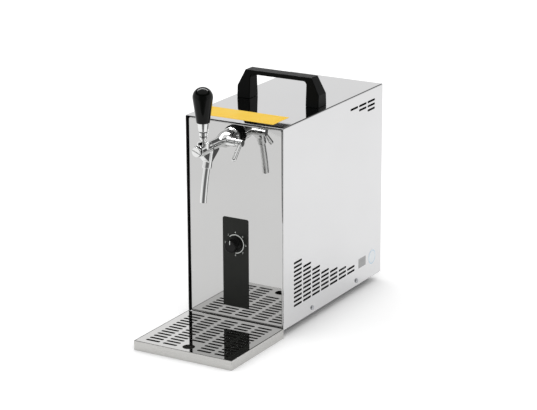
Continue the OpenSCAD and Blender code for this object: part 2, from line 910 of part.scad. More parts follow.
// Front view of the handle: two legs with sloping shoulders and a straight grip
module handle_outline() {
  half = handle_w / 2;
  difference() {
    polygon([
      [-half, 0], [half, 0], [half, handle_h - slope_h], [half - slope_w, handle_h],
      [slope_w - half, handle_h], [-half, handle_h - slope_h]
    ]);
    translate([0, -over]) arch(handle_w - 2 * leg_w, handle_h - grip_t + over, finger_round);
  }
}

// Side view of the handle: deeper at its foot than at the grip
module handle_profile() {
  polygon([
    [handle_y, 0], [handle_y + handle_d, 0],
    [handle_y + (handle_d + grip_d) / 2, handle_h], [handle_y + (handle_d - grip_d) / 2, handle_h]
  ]);
}

module carry_handle() {
  color([0.09, 0.09, 0.1]) place() difference() {
    translate([0, 0, top_z]) intersection() {
      along_y(handle_y, handle_d) handle_outline();
      along_x(-handle_w / 2, handle_w) handle_profile();
    }
    for (p = handle_holes())
      translate([p[0], p[1], 0]) drill(screw_r + bore_fit, top_z - over, handle_thread + 2 * over);
  }
}

// Strip under the top sheet that spreads the handle's load
module handle_backing() {
  low = top_z - sheet - backing_t;
  color("silver") place() difference() {
    translate([-handle_w / 2, handle_y, low]) cube([handle_w, handle_d, backing_t]);
    for (p = handle_holes())
      translate([p[0], p[1], 0]) drill(screw_r + slip, low - over, backing_t + 2 * over);
  }
}

module handle_screws() {
  color("silver") place() for (p = handle_holes())
    translate([p[0], p[1], top_z - sheet - backing_t]) rotate([180, 0, 0])
      screw(sheet + backing_t + handle_thread);
}

// Control panel and thermostat

module control_plate() {
  color([0.08, 0.08, 0.09]) place() difference() {
    translate([0, 0, bottom_z + plate_up])
      along_y(-plate_t, plate_t) soft_rect(plate_w, plate_h, plate_r);
    translate([0, 0, dial_z]) rod_y(bush_r + loose, -plate_t - over, plate_t + 2 * over);
  }
}

// Dial knob with a skirt and a pointer groove, bored for the shaft
module thermostat_knob() {
  color([0.06, 0.06, 0.07]) place() translate([0, -dial_back, dial_z]) difference() {
    union() {
      rod_y(dial_skirt_r, -dial_skirt_l, dial_skirt_l);
      rotate([90, 0, 0]) rotate_extrude() turned_button(dial_r, dial_l, dial_edge);
    }
    rod_y(dial_shaft_r, -dial_bore_l, dial_bore_l + over);
    translate([-pointer_w / 2, -dial_l - over, dial_r / 3])
      cube([pointer_w, pointer_deep + over, dial_r]);
  }
}

module thermostat_shaft() {
  front = -dial_back - dial_bore_l;
  color("silver") place() translate([0, 0, dial_z]) rod_y(dial_shaft_r, front, shaft_in - front);
}

module thermostat_body() {
  color([0.85, 0.83, 0.76]) place() translate([0, 0, dial_z]) difference() {
    union() {
      translate([-thermostat_w / 2, sheet, -thermostat_h / 2])
        cube([thermostat_w, thermostat_d, thermostat_h]);
      rod_y(bush_r, -plate_t, plate_t + sheet + over);
    }
    rod_y(dial_shaft_r + run, -plate_t - over, plate_t + over + shaft_in + slip);
  }
}

// Capillary tube from the thermostat and the probe in the block
module thermostat_bulb() {
  color("peru") place() {
    pipe([
      [0, bulb_turn_y, dial_z + thermostat_h / 2],
      [0, bulb_turn_y, evap_z],
      [0, coil_front, evap_z]
    ], bulb_tube_r);
    translate([0, 0, evap_z])
      rod_y(bulb_probe_r, coil_front, block_y + bulb_pocket - coil_front);
  }
}

// Tap

module tap_rosette() {
  color([0.06, 0.06, 0.06]) place() turned_forward() difference() {
    turned_button(rosette_r, rosette_t, rosette_edge);
    turned_step(shank_r + slip, -over, rosette_t + over);
  }
}

// Threaded tube through the front panel, from the hose to the tap body
module tap_shank() {
  color("silver") place() translate([0, 0, tap_z]) difference() {
    rod_y(shank_r, -shank_front, shank_front + shank_tail);
    rod_y(shank_bore_r, -shank_front - over, shank_front + shank_tail + 2 * over);
  }
}

module shank_nut() {
  color("silver") place() translate([0, 0, tap_z]) difference() {
    hex_y(nut_r, sheet + nut_t, nut_t);
    rod_y(shank_r, 0, sheet + nut_t + over);
  }
}

module tap_collar() {
  color("gainsboro") place() turned_forward() translate([0, rosette_t]) difference() {
    union() {
      square([collar_r - collar_edge, collar_l]);
      turned_step(collar_r, collar_edge, collar_l - collar_edge);
      for (d = [collar_edge, collar_l - collar_edge])
        translate([collar_r - collar_edge, d]) circle(collar_edge);
    }
    turned_step(shank_r + slip, -over, collar_l + over);
  }
}

// Outline of the tap body in radius and forward distance: bulb, narrowing neck and front barrel
function body_outline() = concat(
  [[0, body_back], [bulb_r - bulb_round, body_back]],
  [for (a = [-75 : 15 : 0])
    [bulb_r - bulb_round * (1 - cos(a)), body_back + bulb_round * (1 + sin(a))]],
  [for (i = [0 : taper_steps]) [
    neck_r + (bulb_r - neck_r) * (1 + cos(180 * i / taper_steps)) / 2,
    bulb_end + taper_l * i / taper_steps]],
  [[neck_r, barrel_back - neck_lead], [barrel_r, barrel_back], [barrel_r, tap_reach], [0, tap_reach]]
);

// The casting between the barrel and the spout, in Y and height from the tap axis
module web_outline() {
  spout_h = spout_top_z - tap_z;
  polygon([
    [-taper_end, -web_lap], [-tap_reach + web_front, -web_lap],
    [-tap_reach + web_front, web_lap - barrel_r],
    [spout_top_y - socket_r * cos(spout_top_a), spout_h + web_rise],
    [spout_top_y, spout_h],
    [spout_top_y + socket_r * cos(spout_top_a), spout_h + web_lap],
    [-taper_end, -neck_r - web_lap]
  ]);
}

// Body casting with its passages: a bulb at the wall, a barrel in front and the socket for the spout
module tap_body() {
  color("gainsboro") place() difference() {
    union() {
      turned_forward() polygon(body_outline());
      translate([0, 0, tap_z]) along_x(-web_t / 2, web_t) web_outline();
      translate([0, spout_top_y, spout_top_z]) rotate([-spout_top_a, 0, 0])
        drill(socket_r, -socket_grip, socket_grip + socket_l);
      translate([0, -lever_d, tap_z]) cylinder(r = boss_r, h = boss_top);
      translate([0, -comp_at, tap_z]) rod_x(comp_boss_r, 0, comp_boss_l);
    }
    turned_forward() {
      turned_step(shank_r + slip, body_back - over, shank_front);
      turned_step(cone_bore_r, body_back, cone_bore_end);
      turned_step(seal_room_r, body_back, seat_d);
      turned_step(seat_r, body_back, seat_d + seat_l);
      turned_step(outflow_r, seat_d + seat_l, barrel_bore_d);
      turned_step(barrel_bore_r, barrel_bore_d, tap_reach + over);
    }
    translate([0, spout_top_y, spout_top_z]) rotate([-spout_top_a, 0, 0]) {
      drill(spout_r + loose, -socket_grip - over, socket_grip + over);
      drill(spout_r - spout_wall, -over, over + socket_l - neck_r / 2);
    }
    translate([-lever_r - loose, -lever_d - lever_slot_front, tap_z])
      cube([2 * (lever_r + loose), lever_slot_front + lever_slot_back, boss_top + over]);
    translate([0, -lever_d, tap_z]) rod_x(pin_r, -barrel_r - over, 2 * (barrel_r + over));
    translate([0, -comp_at, tap_z]) rod_x(comp_spindle_r + loose, 0, comp_boss_l + over);
  }
}

// Screw cap in the barrel's front, with a slot for a coin
module tap_front_cap() {
  color("gainsboro") place() difference() {
    turned_forward() {
      turned_step(barrel_bore_r, tap_reach - cap_plug_l, tap_reach);
      translate([0, tap_reach]) turned_button(cap_r, cap_l, cap_edge);
    }
    translate([0, -tap_reach - cap_l, tap_z]) rotate([0, cap_slot_a, 0])
      translate([-cap_r - over, -over, -cap_slot_w / 2])
        cube([2 * (cap_r + over), over + cap_slot_deep, cap_slot_w]);
  }
}

// Curved outlet tube, from its seat in the body to the open end
module tap_spout() {
  color("gainsboro") place() translate([0, spout_cy, spout_cz])
    rotate([90, 0, -90]) rotate([0, 0, spout_end_a])
      rotate_extrude(angle = spout_top_a - spout_end_a) translate([spout_bend, 0]) difference() {
        circle(spout_r);
        circle(spout_r - spout_wall);
      }
}

// Outline of the lever in radius and height from the hinge: neck, rings and the ferrule under the knob
module lever_outline() {
  ferrule_up = knob_up - ferrule_l;
  low_top = stem_low_up + stem_low_l;
  turned_step(lever_r, 0, knob_up);
  turned_step(stem_low_r, stem_low_up, low_top);
  turned_step(stem_low_r - stem_groove, low_top, low_top + stem_groove);
  turned_step(stem_ring_r, low_top + stem_groove, ferrule_up - stem_groove);
  turned_step(stem_ring_r - stem_groove, ferrule_up - stem_groove, ferrule_up);
  polygon([[0, ferrule_up], [ferrule_foot_r, ferrule_up], [ferrule_r, knob_up], [0, knob_up]]);
}

// Lever with a ball tail below its hinge and a stud for the knob
module tap_lever() {
  color("gainsboro") place() translate([0, -lever_d, tap_z]) difference() {
    union() {
      rotate_extrude() lever_outline();
      sphere(lever_r);
      drill(tail_neck_r, -lever_tail, lever_tail);
      translate([0, 0, -lever_tail]) sphere(tail_r);
      drill(knob_stud_r, knob_up, knob_stud_l);
    }
    rod_x(pin_r + run, -barrel_r, 2 * barrel_r);
  }
}

module lever_pin() {
  half = sqrt(barrel_r * barrel_r - pin_r * pin_r) - slip;
  color("silver") place() translate([0, -lever_d, tap_z]) rod_x(pin_r, -half, 2 * half);
}

// Knob outline in radius and height: a straight taper that runs into a round head
function knob_outline() = concat(
  [[0, 0], [knob_foot_r - knob_edge, 0], [knob_foot_r, knob_edge]],
  [for (i = [0 : knob_steps]) let (a = -knob_taper_a + (90 + knob_taper_a) * i / knob_steps)
    [knob_r * cos(a), knob_mid + knob_r * sin(a)]]
);

module tap_knob() {
  color([0.04, 0.04, 0.04]) place() translate([0, -lever_d, tap_z + knob_up]) difference() {
    rotate_extrude() polygon(knob_outline());
    drill(knob_stud_r + bore_fit, -over, knob_stud_l + 2 * over);
  }
}

// Plunger: a rod through the seat, a guide in the barrel and a tongue that the lever's tail moves
module valve_plunger() {
  tongue_front = lever_d + tongue_past;
  color("silver") place() difference() {
    union() {
      turned_forward() {
        turned_step(plunger_rod_r, seal_d, guide_d + guide_l);
        turned_step(guide_r, guide_d, guide_d + guide_l);
      }
      intersection() {
        translate([0, 0, tap_z]) rod_y(guide_r, -tongue_front, tongue_front - guide_d);
        translate([-guide_r, -tongue_front, tap_z - guide_r])
          cube([2 * guide_r, tongue_front - guide_d, guide_r + tongue_top]);
      }
    }
    translate([-tail_pocket, -lever_d - tail_pocket, tap_z - guide_r - over])
      cube([2 * tail_pocket, 2 * tail_pocket, guide_r]);
  }
}

module valve_seal() {
  color([0.15, 0.15, 0.15]) place() turned_forward() difference() {
    turned_step(seal_room_r - loose, seal_d, seat_d);
    turned_step(plunger_rod_r, seal_d - over, seat_d + over);
  }
}

module compensator_bush() {
  color("gainsboro") place() translate([0, -comp_at, tap_z]) difference() {
    rod_x(comp_bush_r, comp_boss_l, comp_bush_l);
    rod_x(comp_spindle_r + run, comp_boss_l - over, comp_bush_l + 2 * over);
  }
}

// Hub on the spindle's end and a tapered lever that points down and forward
module compensator_lever() {
  color("gainsboro") place() translate([0, -comp_at, tap_z]) difference() {
    union() {
      rod_x(comp_hub_r, comp_hub_x, comp_hub_l);
      translate([comp_hub_x + comp_hub_l / 2, 0, 0]) rotate([90 + comp_lever_a, 0, 0]) {
        cylinder(r1 = comp_thin_r, r2 = comp_tip_r, h = comp_lever_l);
        translate([0, 0, comp_lever_l]) sphere(comp_tip_r);
      }
    }
    rod_x(comp_spindle_r, comp_hub_x - over, comp_hub_bore + over);
  }
}

// Spindle with a crank pin on its inner end that moves the cone
module compensator_spindle() {
  color("silver") place() translate([0, -comp_at, tap_z]) {
    rod_x(comp_spindle_r, spindle_in, comp_hub_x + comp_hub_bore - spindle_in);
    translate([0, 0, -crank_arm]) rod_x(crank_r, -crank_hl, crank_hl + spindle_in);
  }
}

// Cone that narrows the passage, guided in its chamber, with a slotted tail for the crank pin
module compensator_cone() {
  color("whitesmoke") place() difference() {
    union() {
      turned_forward() translate([0, cone_d]) {
        polygon([[0, 0], [cone_tip_r, 0], [cone_r, cone_l - cone_rim_l], [cone_r, cone_l], [0, cone_l]]);
        turned_step(cone_bore_r - run, cone_l - 2 * cone_rim_l, cone_l - cone_rim_l);
      }
      translate([-crank_hl, -cone_tail_end, tap_z - crank_arm - cone_tail_h])
        cube([2 * crank_hl, cone_tail_end - cone_d - cone_l + over, 2 * cone_tail_h]);
    }
    translate([-crank_hl - over, -comp_at - crank_slot, tap_z - crank_arm - cone_tail_h + over])
      cube([2 * (crank_hl + over), 2 * crank_slot, 2 * cone_tail_h]);
  }
}

// Drip tray

// Shallow pan with a ledge inside its rim
module drip_pan() {
  ledge_z = tray_h - grid_t - ledge_t;
  ledge_in = tray_wall + ledge_w;
  color("silver") place() translate([-body_w / 2, front_reach, 0]) difference() {
    cube([body_w, tray_d, tray_h]);
    translate([ledge_in, ledge_in, tray_wall])
      cube([body_w - 2 * ledge_in, tray_d - 2 * ledge_in, tray_h]);
    for (span = [[tray_wall, ledge_z], [ledge_z + ledge_t, tray_h + over]])
      translate([tray_wall, tray_wall, span[0]])
        cube([body_w - 2 * tray_wall, tray_d - 2 * tray_wall, span[1] - span[0]]);
  }
}

// Loose grid with rows of slots and a finger hole at the front
module drip_grid() {
  color("gainsboro") place()
    translate([0, front_reach, tray_h - grid_t]) linear_extrude(grid_t) difference() {
      translate([tray_rim - body_w / 2, tray_rim])
        square([body_w - 2 * tray_rim, tray_d - 2 * tray_rim]);
      for (i = [-grid_side : grid_side], j = [0 : grid_rows - 1])
        if (i != 0 || j >= finger_rows)
          translate([i * grid_pitch_x - grid_slot_l / 2, grid_first + j * grid_pitch_y])
            slot(grid_slot_l, grid_slot_w);
      translate([0, finger_in]) circle(finger_r);
    }
}

// Cooling unit

// Sheet shelf on four strip legs that stand on the base tray
module cooler_shelf() {
  color("silver") place() {
    translate([-shelf_hw, shelf_y, shelf_z]) cube([2 * shelf_hw, shelf_d, shelf_t]);
    for (x = [-shelf_hw, shelf_hw - shelf_t], y = [shelf_y, shelf_y + shelf_d - shelf_leg])
      translate([x, y, floor_z]) cube([shelf_t, shelf_leg, shelf_h]);
  }
}

// Foam box round the block, with holes for the tubes and the probe
module insulation_box() {
  rear_cut = foam_rear - foam_t - over;
  cut_l = foam_t + 2 * over;
  color([0.2, 0.2, 0.22]) place() difference() {
    translate([-foam_w / 2, foam_y, shelf_top]) cube([foam_w, foam_d, foam_t + block_h]);
    translate([foam_t - foam_w / 2, foam_y + foam_t, block_z])
      cube([foam_w - 2 * foam_t, foam_d - 2 * foam_t, block_h + over]);
    translate([beer_x, 0, beer_z]) rod_y(coil_r + loose, foam_y - over, cut_l);
    translate([-beer_x, 0, beer_z]) rod_y(coil_r + loose, rear_cut, cut_l);
    for (x = [-evap_x, evap_x]) translate([x, 0, evap_z]) rod_y(coil_r + loose, rear_cut, cut_l);
    translate([0, 0, evap_z]) rod_y(bulb_probe_r + loose, foam_y - over, cut_l);
  }
}

// Foam lid with a low tongue that drops in front of the block
module insulation_lid() {
  color([0.24, 0.24, 0.26]) place() {
    translate([-foam_w / 2, foam_y, block_z + block_h]) cube([foam_w, foam_d, foam_t]);
    translate([-block_w / 2, foam_y + foam_t + lid_step, block_z + block_h - lid_step])
      cube([block_w, bend_room / 2, lid_step]);
  }
}

// Cast block that carries both coils and the thermostat's probe
module cooling_block() {
  color("lightsteelblue") place() difference() {
    translate([-block_w / 2, block_y, block_z]) cube([block_w, block_d, block_h]);
    for (x = row_of_tubes(beer_tubes))
      translate([x, 0, beer_z]) rod_y(coil_r, block_y - over, block_d + 2 * over);
    for (x = row_of_tubes(evap_tubes))
      translate([x, 0, evap_z]) rod_y(coil_r, block_y - over, block_d + 2 * over);
    translate([0, 0, evap_z]) rod_y(bulb_probe_r + slip, block_y - over, bulb_pocket + over);
  }
}

module beer_coil() {
  color("silver") place() translate([0, 0, beer_z])
    serpentine(beer_tubes, coil_r, block_y - bend_lead, block_d + 2 * bend_lead, coil_front, coil_rear);
}

module evaporator_coil() {
  color("peru") place() translate([0, 0, evap_z])
    serpentine(evap_tubes, coil_r, block_y - bend_lead, block_d + 2 * bend_lead, coil_front, coil_rear);
}

// Hermetic compressor: a domed shell on a foot plate
module compressor() {
  color([0.1, 0.1, 0.11]) place() difference() {
    union() {
      translate([0, shell_y, shell_z - over])
        rotate_extrude() turned_button(shell_r, shell_h + over, shell_round);
      translate([-foot_plate_w / 2, shell_y - foot_plate_d / 2, plate_z])
        cube([foot_plate_w, foot_plate_d, foot_plate_t]);
    }
    for (p = bolt_places())
      translate([p[0], p[1], 0]) drill(bolt_r + slip, plate_z - over, foot_plate_t + 2 * over);
  }
}

module compressor_grommets() {
  color([0.12, 0.12, 0.12]) place() for (p = bolt_places())
    translate([p[0], p[1], floor_z]) difference() {
      cylinder(r = grommet_r, h = mount_h);
      drill(bolt_r + slip, -over, mount_h + 2 * over);
    }
}

module compressor_bolts() {
  color("silver") place() for (p = bolt_places()) translate([p[0], p[1], 0]) {
    drill(bolt_r, base_z, shell_z - base_z);
    translate([0, 0, shell_z]) cylinder(r = bolt_head_r, h = bolt_head_h, $fn = 6);
  }
}

// Cover over the starting relay, shaped to the shell
module relay_cover() {
  color([0.14, 0.14, 0.15]) place() difference() {
    translate([-relay_w / 2, shell_y + shell_r - relay_bite, shell_z + relay_up])
      cube([relay_w, relay_d + relay_bite, relay_h]);
    translate([0, shell_y, 0]) drill(shell_r, shell_z, shell_h);
  }
}

// U-shaped bracket that stands on the base tray and holds the tubes at both ends
module condenser_frame() {
  color("silver") place() difference() {
    translate([-frame_hw, cond_y - fin_d / 2, floor_z]) cube([2 * frame_hw, fin_d, fin_top - floor_z]);
    translate([frame_t - frame_hw, cond_y - fin_d, floor_z + frame_t])
      cube([2 * (frame_hw - frame_t), 2 * fin_d, fin_top]);
    for (i = [0 : cond_tubes - 1])
      translate([0, cond_y, cond_z + i * cond_pitch])
        rod_x(cond_r, -frame_hw - over, 2 * (frame_hw + over));
  }
}

module condenser_fins() {
  color("lightgray") place() for (i = [0 : fin_count - 1])
    along_x(i * fin_pitch - fin_span / 2, fin_t) difference() {
      translate([cond_y - fin_d / 2, floor_z + fin_foot])
        square([fin_d, fin_top - floor_z - fin_foot]);
      for (j = [0 : cond_tubes - 1]) translate([cond_y, cond_z + j * cond_pitch]) circle(cond_r);
    }
}

// One tube that runs to and fro through the fins
module condenser_coil() {
  color("peru") place() translate([0, cond_y, 0]) {
    for (i = [0 : cond_tubes - 1]) {
      x_left = i == cond_tubes - 1 ? -cond_end : -cond_bend_x;
      x_right = i == 0 ? cond_end : cond_bend_x;
      translate([0, 0, cond_z + i * cond_pitch]) rod_x(cond_r, x_left, x_right - x_left);
    }
    for (i = [0 : cond_tubes - 2])
      translate([i % 2 == 0 ? -cond_bend_x : cond_bend_x, 0, cond_z + (i + 0.5) * cond_pitch])
        rotate([90, i % 2 == 0 ? -90 : 90, 0]) return_bend(cond_pitch, cond_r);
  }
}

// Sheet with a round mouth for the fan and a foot on the base tray
module fan_shroud() {
  color("silver") place() difference() {
    union() {
      translate([-shroud_w / 2, shroud_y, floor_z]) cube([shroud_w, shroud_t, shroud_w]);
      translate([-shroud_w / 2, shroud_y, floor_z]) cube([shroud_w, shroud_margin, shroud_t]);
    }
    translate([0, 0, fan_z]) rod_y(fan_r + fan_gap, shroud_y - over, shroud_t + 2 * over);
  }
}

// Upright strip that clamps the fan motor
module fan_bracket() {
  color("silver") place() difference() {
    union() {
      translate([-bracket_w / 2, bracket_y, floor_z])
        cube([bracket_w, bracket_t, fan_z + motor_r + bracket_head - floor_z]);
      translate([-bracket_w / 2, bracket_y, floor_z]) cube([bracket_w, bracket_foot, bracket_t]);
    }
    translate([0, 0, fan_z]) rod_y(motor_r, bracket_y - over, bracket_t + 2 * over);
  }
}

module fan_motor() {
  color([0.16, 0.16, 0.17]) place() translate([0, 0, fan_z]) difference() {
    rod_y(motor_r, motor_y, motor_l);
    rod_y(motor_shaft_r + run, motor_y - over, motor_shaft_in + slip + over);
  }
}

// Fan wheel with tilted blades and its shaft
module fan_blades() {
  color([0.25, 0.25, 0.27]) place() translate([0, 0, fan_z]) {
    rod_y(hub_r, fan_y, hub_l);
    rod_y(motor_shaft_r, fan_y, hub_l + motor_gap + motor_shaft_in);
    for (i = [0 : blade_count - 1])
      rotate([0, i * 360 / blade_count, 0]) translate([blade_root, fan_y + hub_l / 2, 0])
        rotate([blade_tilt, 0, 0]) translate([0, -blade_t / 2, -blade_w / 2])
          cube([blade_reach - blade_root, blade_t, blade_w]);
  }
}

module filter_drier() {
  color("peru") place() translate([side_run, drier_y, drier_low]) {
    cylinder(r1 = gas_r, r2 = drier_r, h = drier_r);
    drill(drier_r, drier_r, drier_l - 2 * drier_r);
    translate([0, 0, drier_l - drier_r]) cylinder(r1 = drier_r, r2 = cap_tube_r, h = drier_r);
  }
}

// Four pipes: hot gas, liquid, capillary and suction
module refrigerant_lines() {
  color("peru") place() {
    pipe([
      [-gas_x, shell_y, shell_top], [-gas_x, shell_y, gas_z], [-side_run, shell_y, gas_z],
      [-side_run, cond_y, gas_z], [-side_run, cond_y, cond_last], [-cond_end, cond_y, cond_last]
    ], gas_r);
    pipe([
      [cond_end, cond_y, cond_z], [side_run, cond_y, cond_z],
      [side_run, drier_y, cond_z], [side_run, drier_y, drier_low]
    ], gas_r);
    pipe([
      [side_run, drier_y, drier_low + drier_l], [side_run, drier_y, cap_z],
      [side_run, cap_run_y, cap_z], [side_run, cap_run_y, cap_cross_z],
      [-evap_x, cap_run_y, cap_cross_z], [-evap_x, cap_run_y, evap_z], [-evap_x, coil_rear, evap_z]
    ], cap_tube_r);
    pipe([
      [evap_x, coil_rear, evap_z], [evap_x, suction_run_y, evap_z],
      [evap_x, suction_run_y, suction_low_z], [gas_x, suction_run_y, suction_low_z],
      [gas_x, shell_y, suction_low_z], [gas_x, shell_y, shell_top]
    ], suction_r);
  }
}

// Beer into the coil, beer up to the tap and air from the pump to its fitting
module inner_hoses() {
  color("whitesmoke") place() {
    pipe([[-beer_x, coil_rear, beer_z], [-beer_x, fitting_in, beer_z]], coil_r);
    pipe([
      [beer_x, coil_front, beer_z], [beer_x, hose_turn_y, beer_z], [beer_x, hose_turn_y, tap_z],
      [0, hose_turn_y, tap_z], [0, shank_tail, tap_z]
    ], coil_r);
    pipe([
      [air_x, air_turn_y, pump_top], [air_x, air_turn_y, beer_z], [air_x, fitting_in, beer_z]
    ], coil_r);
  }
}

// Air pump on the rear panel
module air_pump() {
  color([0.2, 0.22, 0.3]) place()
    translate([air_x - pump_w / 2, rear_in - pump_d, shelf_top + pump_up]) cube([pump_w, pump_d, pump_h]);
}

// Rear connections

// Bulkhead fittings for the beer line and the air line
module push_in_fittings() {
  color([0.1, 0.1, 0.11]) place() for (x = [-beer_x, air_x]) translate([x, 0, beer_z]) difference() {
    union() {
      rod_y(fitting_r, fitting_in, fitting_mouth - fitting_in);
      rod_y(fitting_flange_r, rear_y, fitting_mouth - rear_y);
      hex_y(fitting_nut_r, rear_in, fitting_nut_t);
    }
    rod_y(hose_bore_r, fitting_in - over, line_stop_y - fitting_in + 2 * over);
    rod_y(line_bore_r, line_stop_y, line_bore_l + over);
    rod_y(collet_r + run, line_stop_y + line_bore_l, collet_l + collet_play + over);
  }
}

// Ring that is pushed in to free the line
module collet() {
  inner_end = fitting_mouth - collet_l;
  difference() {
    union() {
      rod_y(collet_r, inner_end, collet_l + collet_play);
      rod_y(collet_rim_r, fitting_mouth + collet_play, collet_rim_t);
    }
    rod_y(collet_bore_r, inner_end - over, rear_reach - inner_end + 2 * over);
  }
}

module beer_collet() {
  color("steelblue") place() translate([-beer_x, 0, beer_z]) collet();
}

module air_collet() {
  color("steelblue") place() translate([air_x, 0, beer_z]) collet();
}

// Snap-in switch housing with a well and two pin holes for the rocker
module switch_housing() {
  well_hw = rocker_w / 2 + loose;
  well_hh = rocker_h / 2 + rocker_swing;
  color([0.08, 0.08, 0.08]) place() translate([-switch_x, rear_y, switch_z]) difference() {
    union() {
      translate([-switch_w / 2, -switch_deep, -switch_h / 2]) cube([switch_w, switch_deep, switch_h]);
      translate([-switch_w / 2 - bezel, 0, -switch_h / 2 - bezel])
        cube([switch_w + 2 * bezel, bezel, switch_h + 2 * bezel]);
    }
    translate([-well_hw, -switch_well, -well_hh])
      cube([2 * well_hw, switch_well + bezel + over, 2 * well_hh]);
    translate([0, -rocker_axis, 0])
      rod_x(rocker_pin_r + run, -rocker_pin_hl - loose, 2 * (rocker_pin_hl + loose));
  }
}

// Rocker with two sloping faces, on a pin along X
module switch_rocker() {
  color([0.55, 0.08, 0.06]) place() translate([-switch_x, rear_y - rocker_axis, switch_z]) {
    rotate([rocker_tilt, 0, 0]) along_x(-rocker_w / 2, rocker_w) polygon([
      [-rocker_root, -rocker_root], [-rocker_root, rocker_root], [rocker_peak, rocker_h / 2],
      [rocker_dip, 0], [rocker_peak, -rocker_h / 2]
    ]);
    rod_x(rocker_pin_r, -rocker_pin_hl, 2 * rocker_pin_hl);
  }
}

// Cable gland: a threaded tube with a nut on each side of the rear panel
module cable_gland() {
  color([0.1, 0.1, 0.1]) place() translate([switch_x, 0, switch_z]) difference() {
    union() {
      rod_y(gland_r, rear_in - fitting_nut_t, sheet + fitting_nut_t + gland_hex_l);
      hex_y(gland_nut_r, rear_in, fitting_nut_t);
      hex_y(gland_nut_r, rear_y + gland_hex_l, gland_hex_l);
      translate([0, rear_y + gland_hex_l, 0]) rotate([-90, 0, 0])
        cylinder(r1 = gland_r, r2 = gland_tip_r, h = gland_out - gland_hex_l);
    }
    rod_y(gland_inner_r, rear_in - fitting_nut_t - over, sheet + fitting_nut_t + over);
    rod_y(gland_bore_r, rear_y - over, gland_out + 2 * over);
  }
}

base_plate();
front_panel();
wrap_cover();
rear_panel();
cabinet_screws();
rubber_feet();
foot_screws();
carry_handle();
handle_backing();
handle_screws();
control_plate();
thermostat_knob();
thermostat_shaft();
thermostat_body();
thermostat_bulb();
tap_rosette();
tap_shank();
shank_nut();
tap_collar();
tap_body();
tap_front_cap();
tap_spout();
tap_lever();
lever_pin();
tap_knob();
valve_plunger();
valve_seal();
compensator_bush();
compensator_lever();
compensator_spindle();
compensator_cone();
drip_pan();
drip_grid();
cooler_shelf();
insulation_box();
insulation_lid();
cooling_block();
beer_coil();
evaporator_coil();
compressor();
compressor_grommets();
compressor_bolts();
relay_cover();
condenser_frame();
condenser_fins();
condenser_coil();
fan_shroud();
fan_bracket();
fan_motor();
fan_blades();
filter_drier();
refrigerant_lines();
inner_hoses();
air_pump();
push_in_fittings();
beer_collet();
air_collet();
switch_housing();
switch_rocker();
cable_gland();
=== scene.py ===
"""Looks of a table-top draft beer dispenser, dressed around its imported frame.

Lengths are metres in the part's own frame: +X to the right, +Y to the rear, +Z up, the floor at Z = 0.
"""

import json
import math

import bmesh
import bpy
from mathutils import Matrix, Vector

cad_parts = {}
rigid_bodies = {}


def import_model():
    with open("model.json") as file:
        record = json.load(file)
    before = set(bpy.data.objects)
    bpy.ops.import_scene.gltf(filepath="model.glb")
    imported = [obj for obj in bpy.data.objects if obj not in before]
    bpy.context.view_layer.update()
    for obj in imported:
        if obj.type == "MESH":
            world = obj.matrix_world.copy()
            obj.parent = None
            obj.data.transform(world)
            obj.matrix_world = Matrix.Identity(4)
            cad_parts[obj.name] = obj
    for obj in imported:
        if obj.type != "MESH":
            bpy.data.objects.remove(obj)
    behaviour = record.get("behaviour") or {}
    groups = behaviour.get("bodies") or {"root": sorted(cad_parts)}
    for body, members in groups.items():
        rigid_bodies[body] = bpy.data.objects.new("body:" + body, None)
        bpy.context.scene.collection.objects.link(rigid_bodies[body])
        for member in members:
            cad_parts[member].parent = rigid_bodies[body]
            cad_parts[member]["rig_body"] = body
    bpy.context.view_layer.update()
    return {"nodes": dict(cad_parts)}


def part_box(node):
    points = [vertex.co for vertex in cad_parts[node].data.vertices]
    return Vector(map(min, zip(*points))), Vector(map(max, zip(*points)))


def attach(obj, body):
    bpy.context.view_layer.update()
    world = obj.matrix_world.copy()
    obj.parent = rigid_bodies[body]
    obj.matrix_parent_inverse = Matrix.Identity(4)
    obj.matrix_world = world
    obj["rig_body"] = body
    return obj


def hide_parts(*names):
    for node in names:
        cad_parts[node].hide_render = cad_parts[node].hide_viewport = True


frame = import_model()
nodes = frame["nodes"]

MM = 0.001

# Faces of the cabinet that the trim lies on
cover_low, cover_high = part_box("wrap_cover")
FRONT_Y = cover_low.y
REAR_Y = cover_high.y
MIDDLE_Y = (FRONT_Y + REAR_Y) / 2
TOP_Z = cover_high.z
RIGHT_X = cover_high.x
ACROSS = Vector((1, 0, 0))
REARWARD = Vector((0, 1, 0))
UP = Vector((0, 0, 1))
FORWARD = Vector((0, -1, 0))

# Camera: where the photograph was taken from, for an image 537 pixels wide
VIEW_AZIMUTH = math.radians(30.365)
VIEW_ELEVATION = math.radians(17.267)
VIEW_ROLL = math.radians(-0.228)
CAMERA_AT = Vector((1.58613, -2.69814, 1.15084))
FOCAL_PIXELS = 2065.8
IMAGE_WIDTH = 537
SENSOR_MM = 36

# Walls seen in reflections: height of the direction, tone
WALL_TONES = [(0.0, 0.96), (0.2, 0.92), (0.36, 0.86), (0.45, 0.1), (0.62, 0.08), (0.74, 0.9)]
# Dark room on the camera's side: where it begins and is full, by the cosine to its middle, and its tone
ROOM_BEGINS = 0.5
ROOM_FULL = 0.85
ROOM_TONE = 0.17
SKY_STRENGTH = 0.97

# Floor: how far it reaches, and where it ends towards the camera
FLOOR_REACH = 5.0
FLOOR_FRONT = 0.7
FLOOR_PAPER = (0.89, 0.89, 0.89)
# Light that lifts the floor to white for the eye and in reflections, and the reach of its dim corners
FLOOR_LIFT = 0.3
MIRRORED_LIFT = 0.22
FLOOR_CORNER = 70 * MM

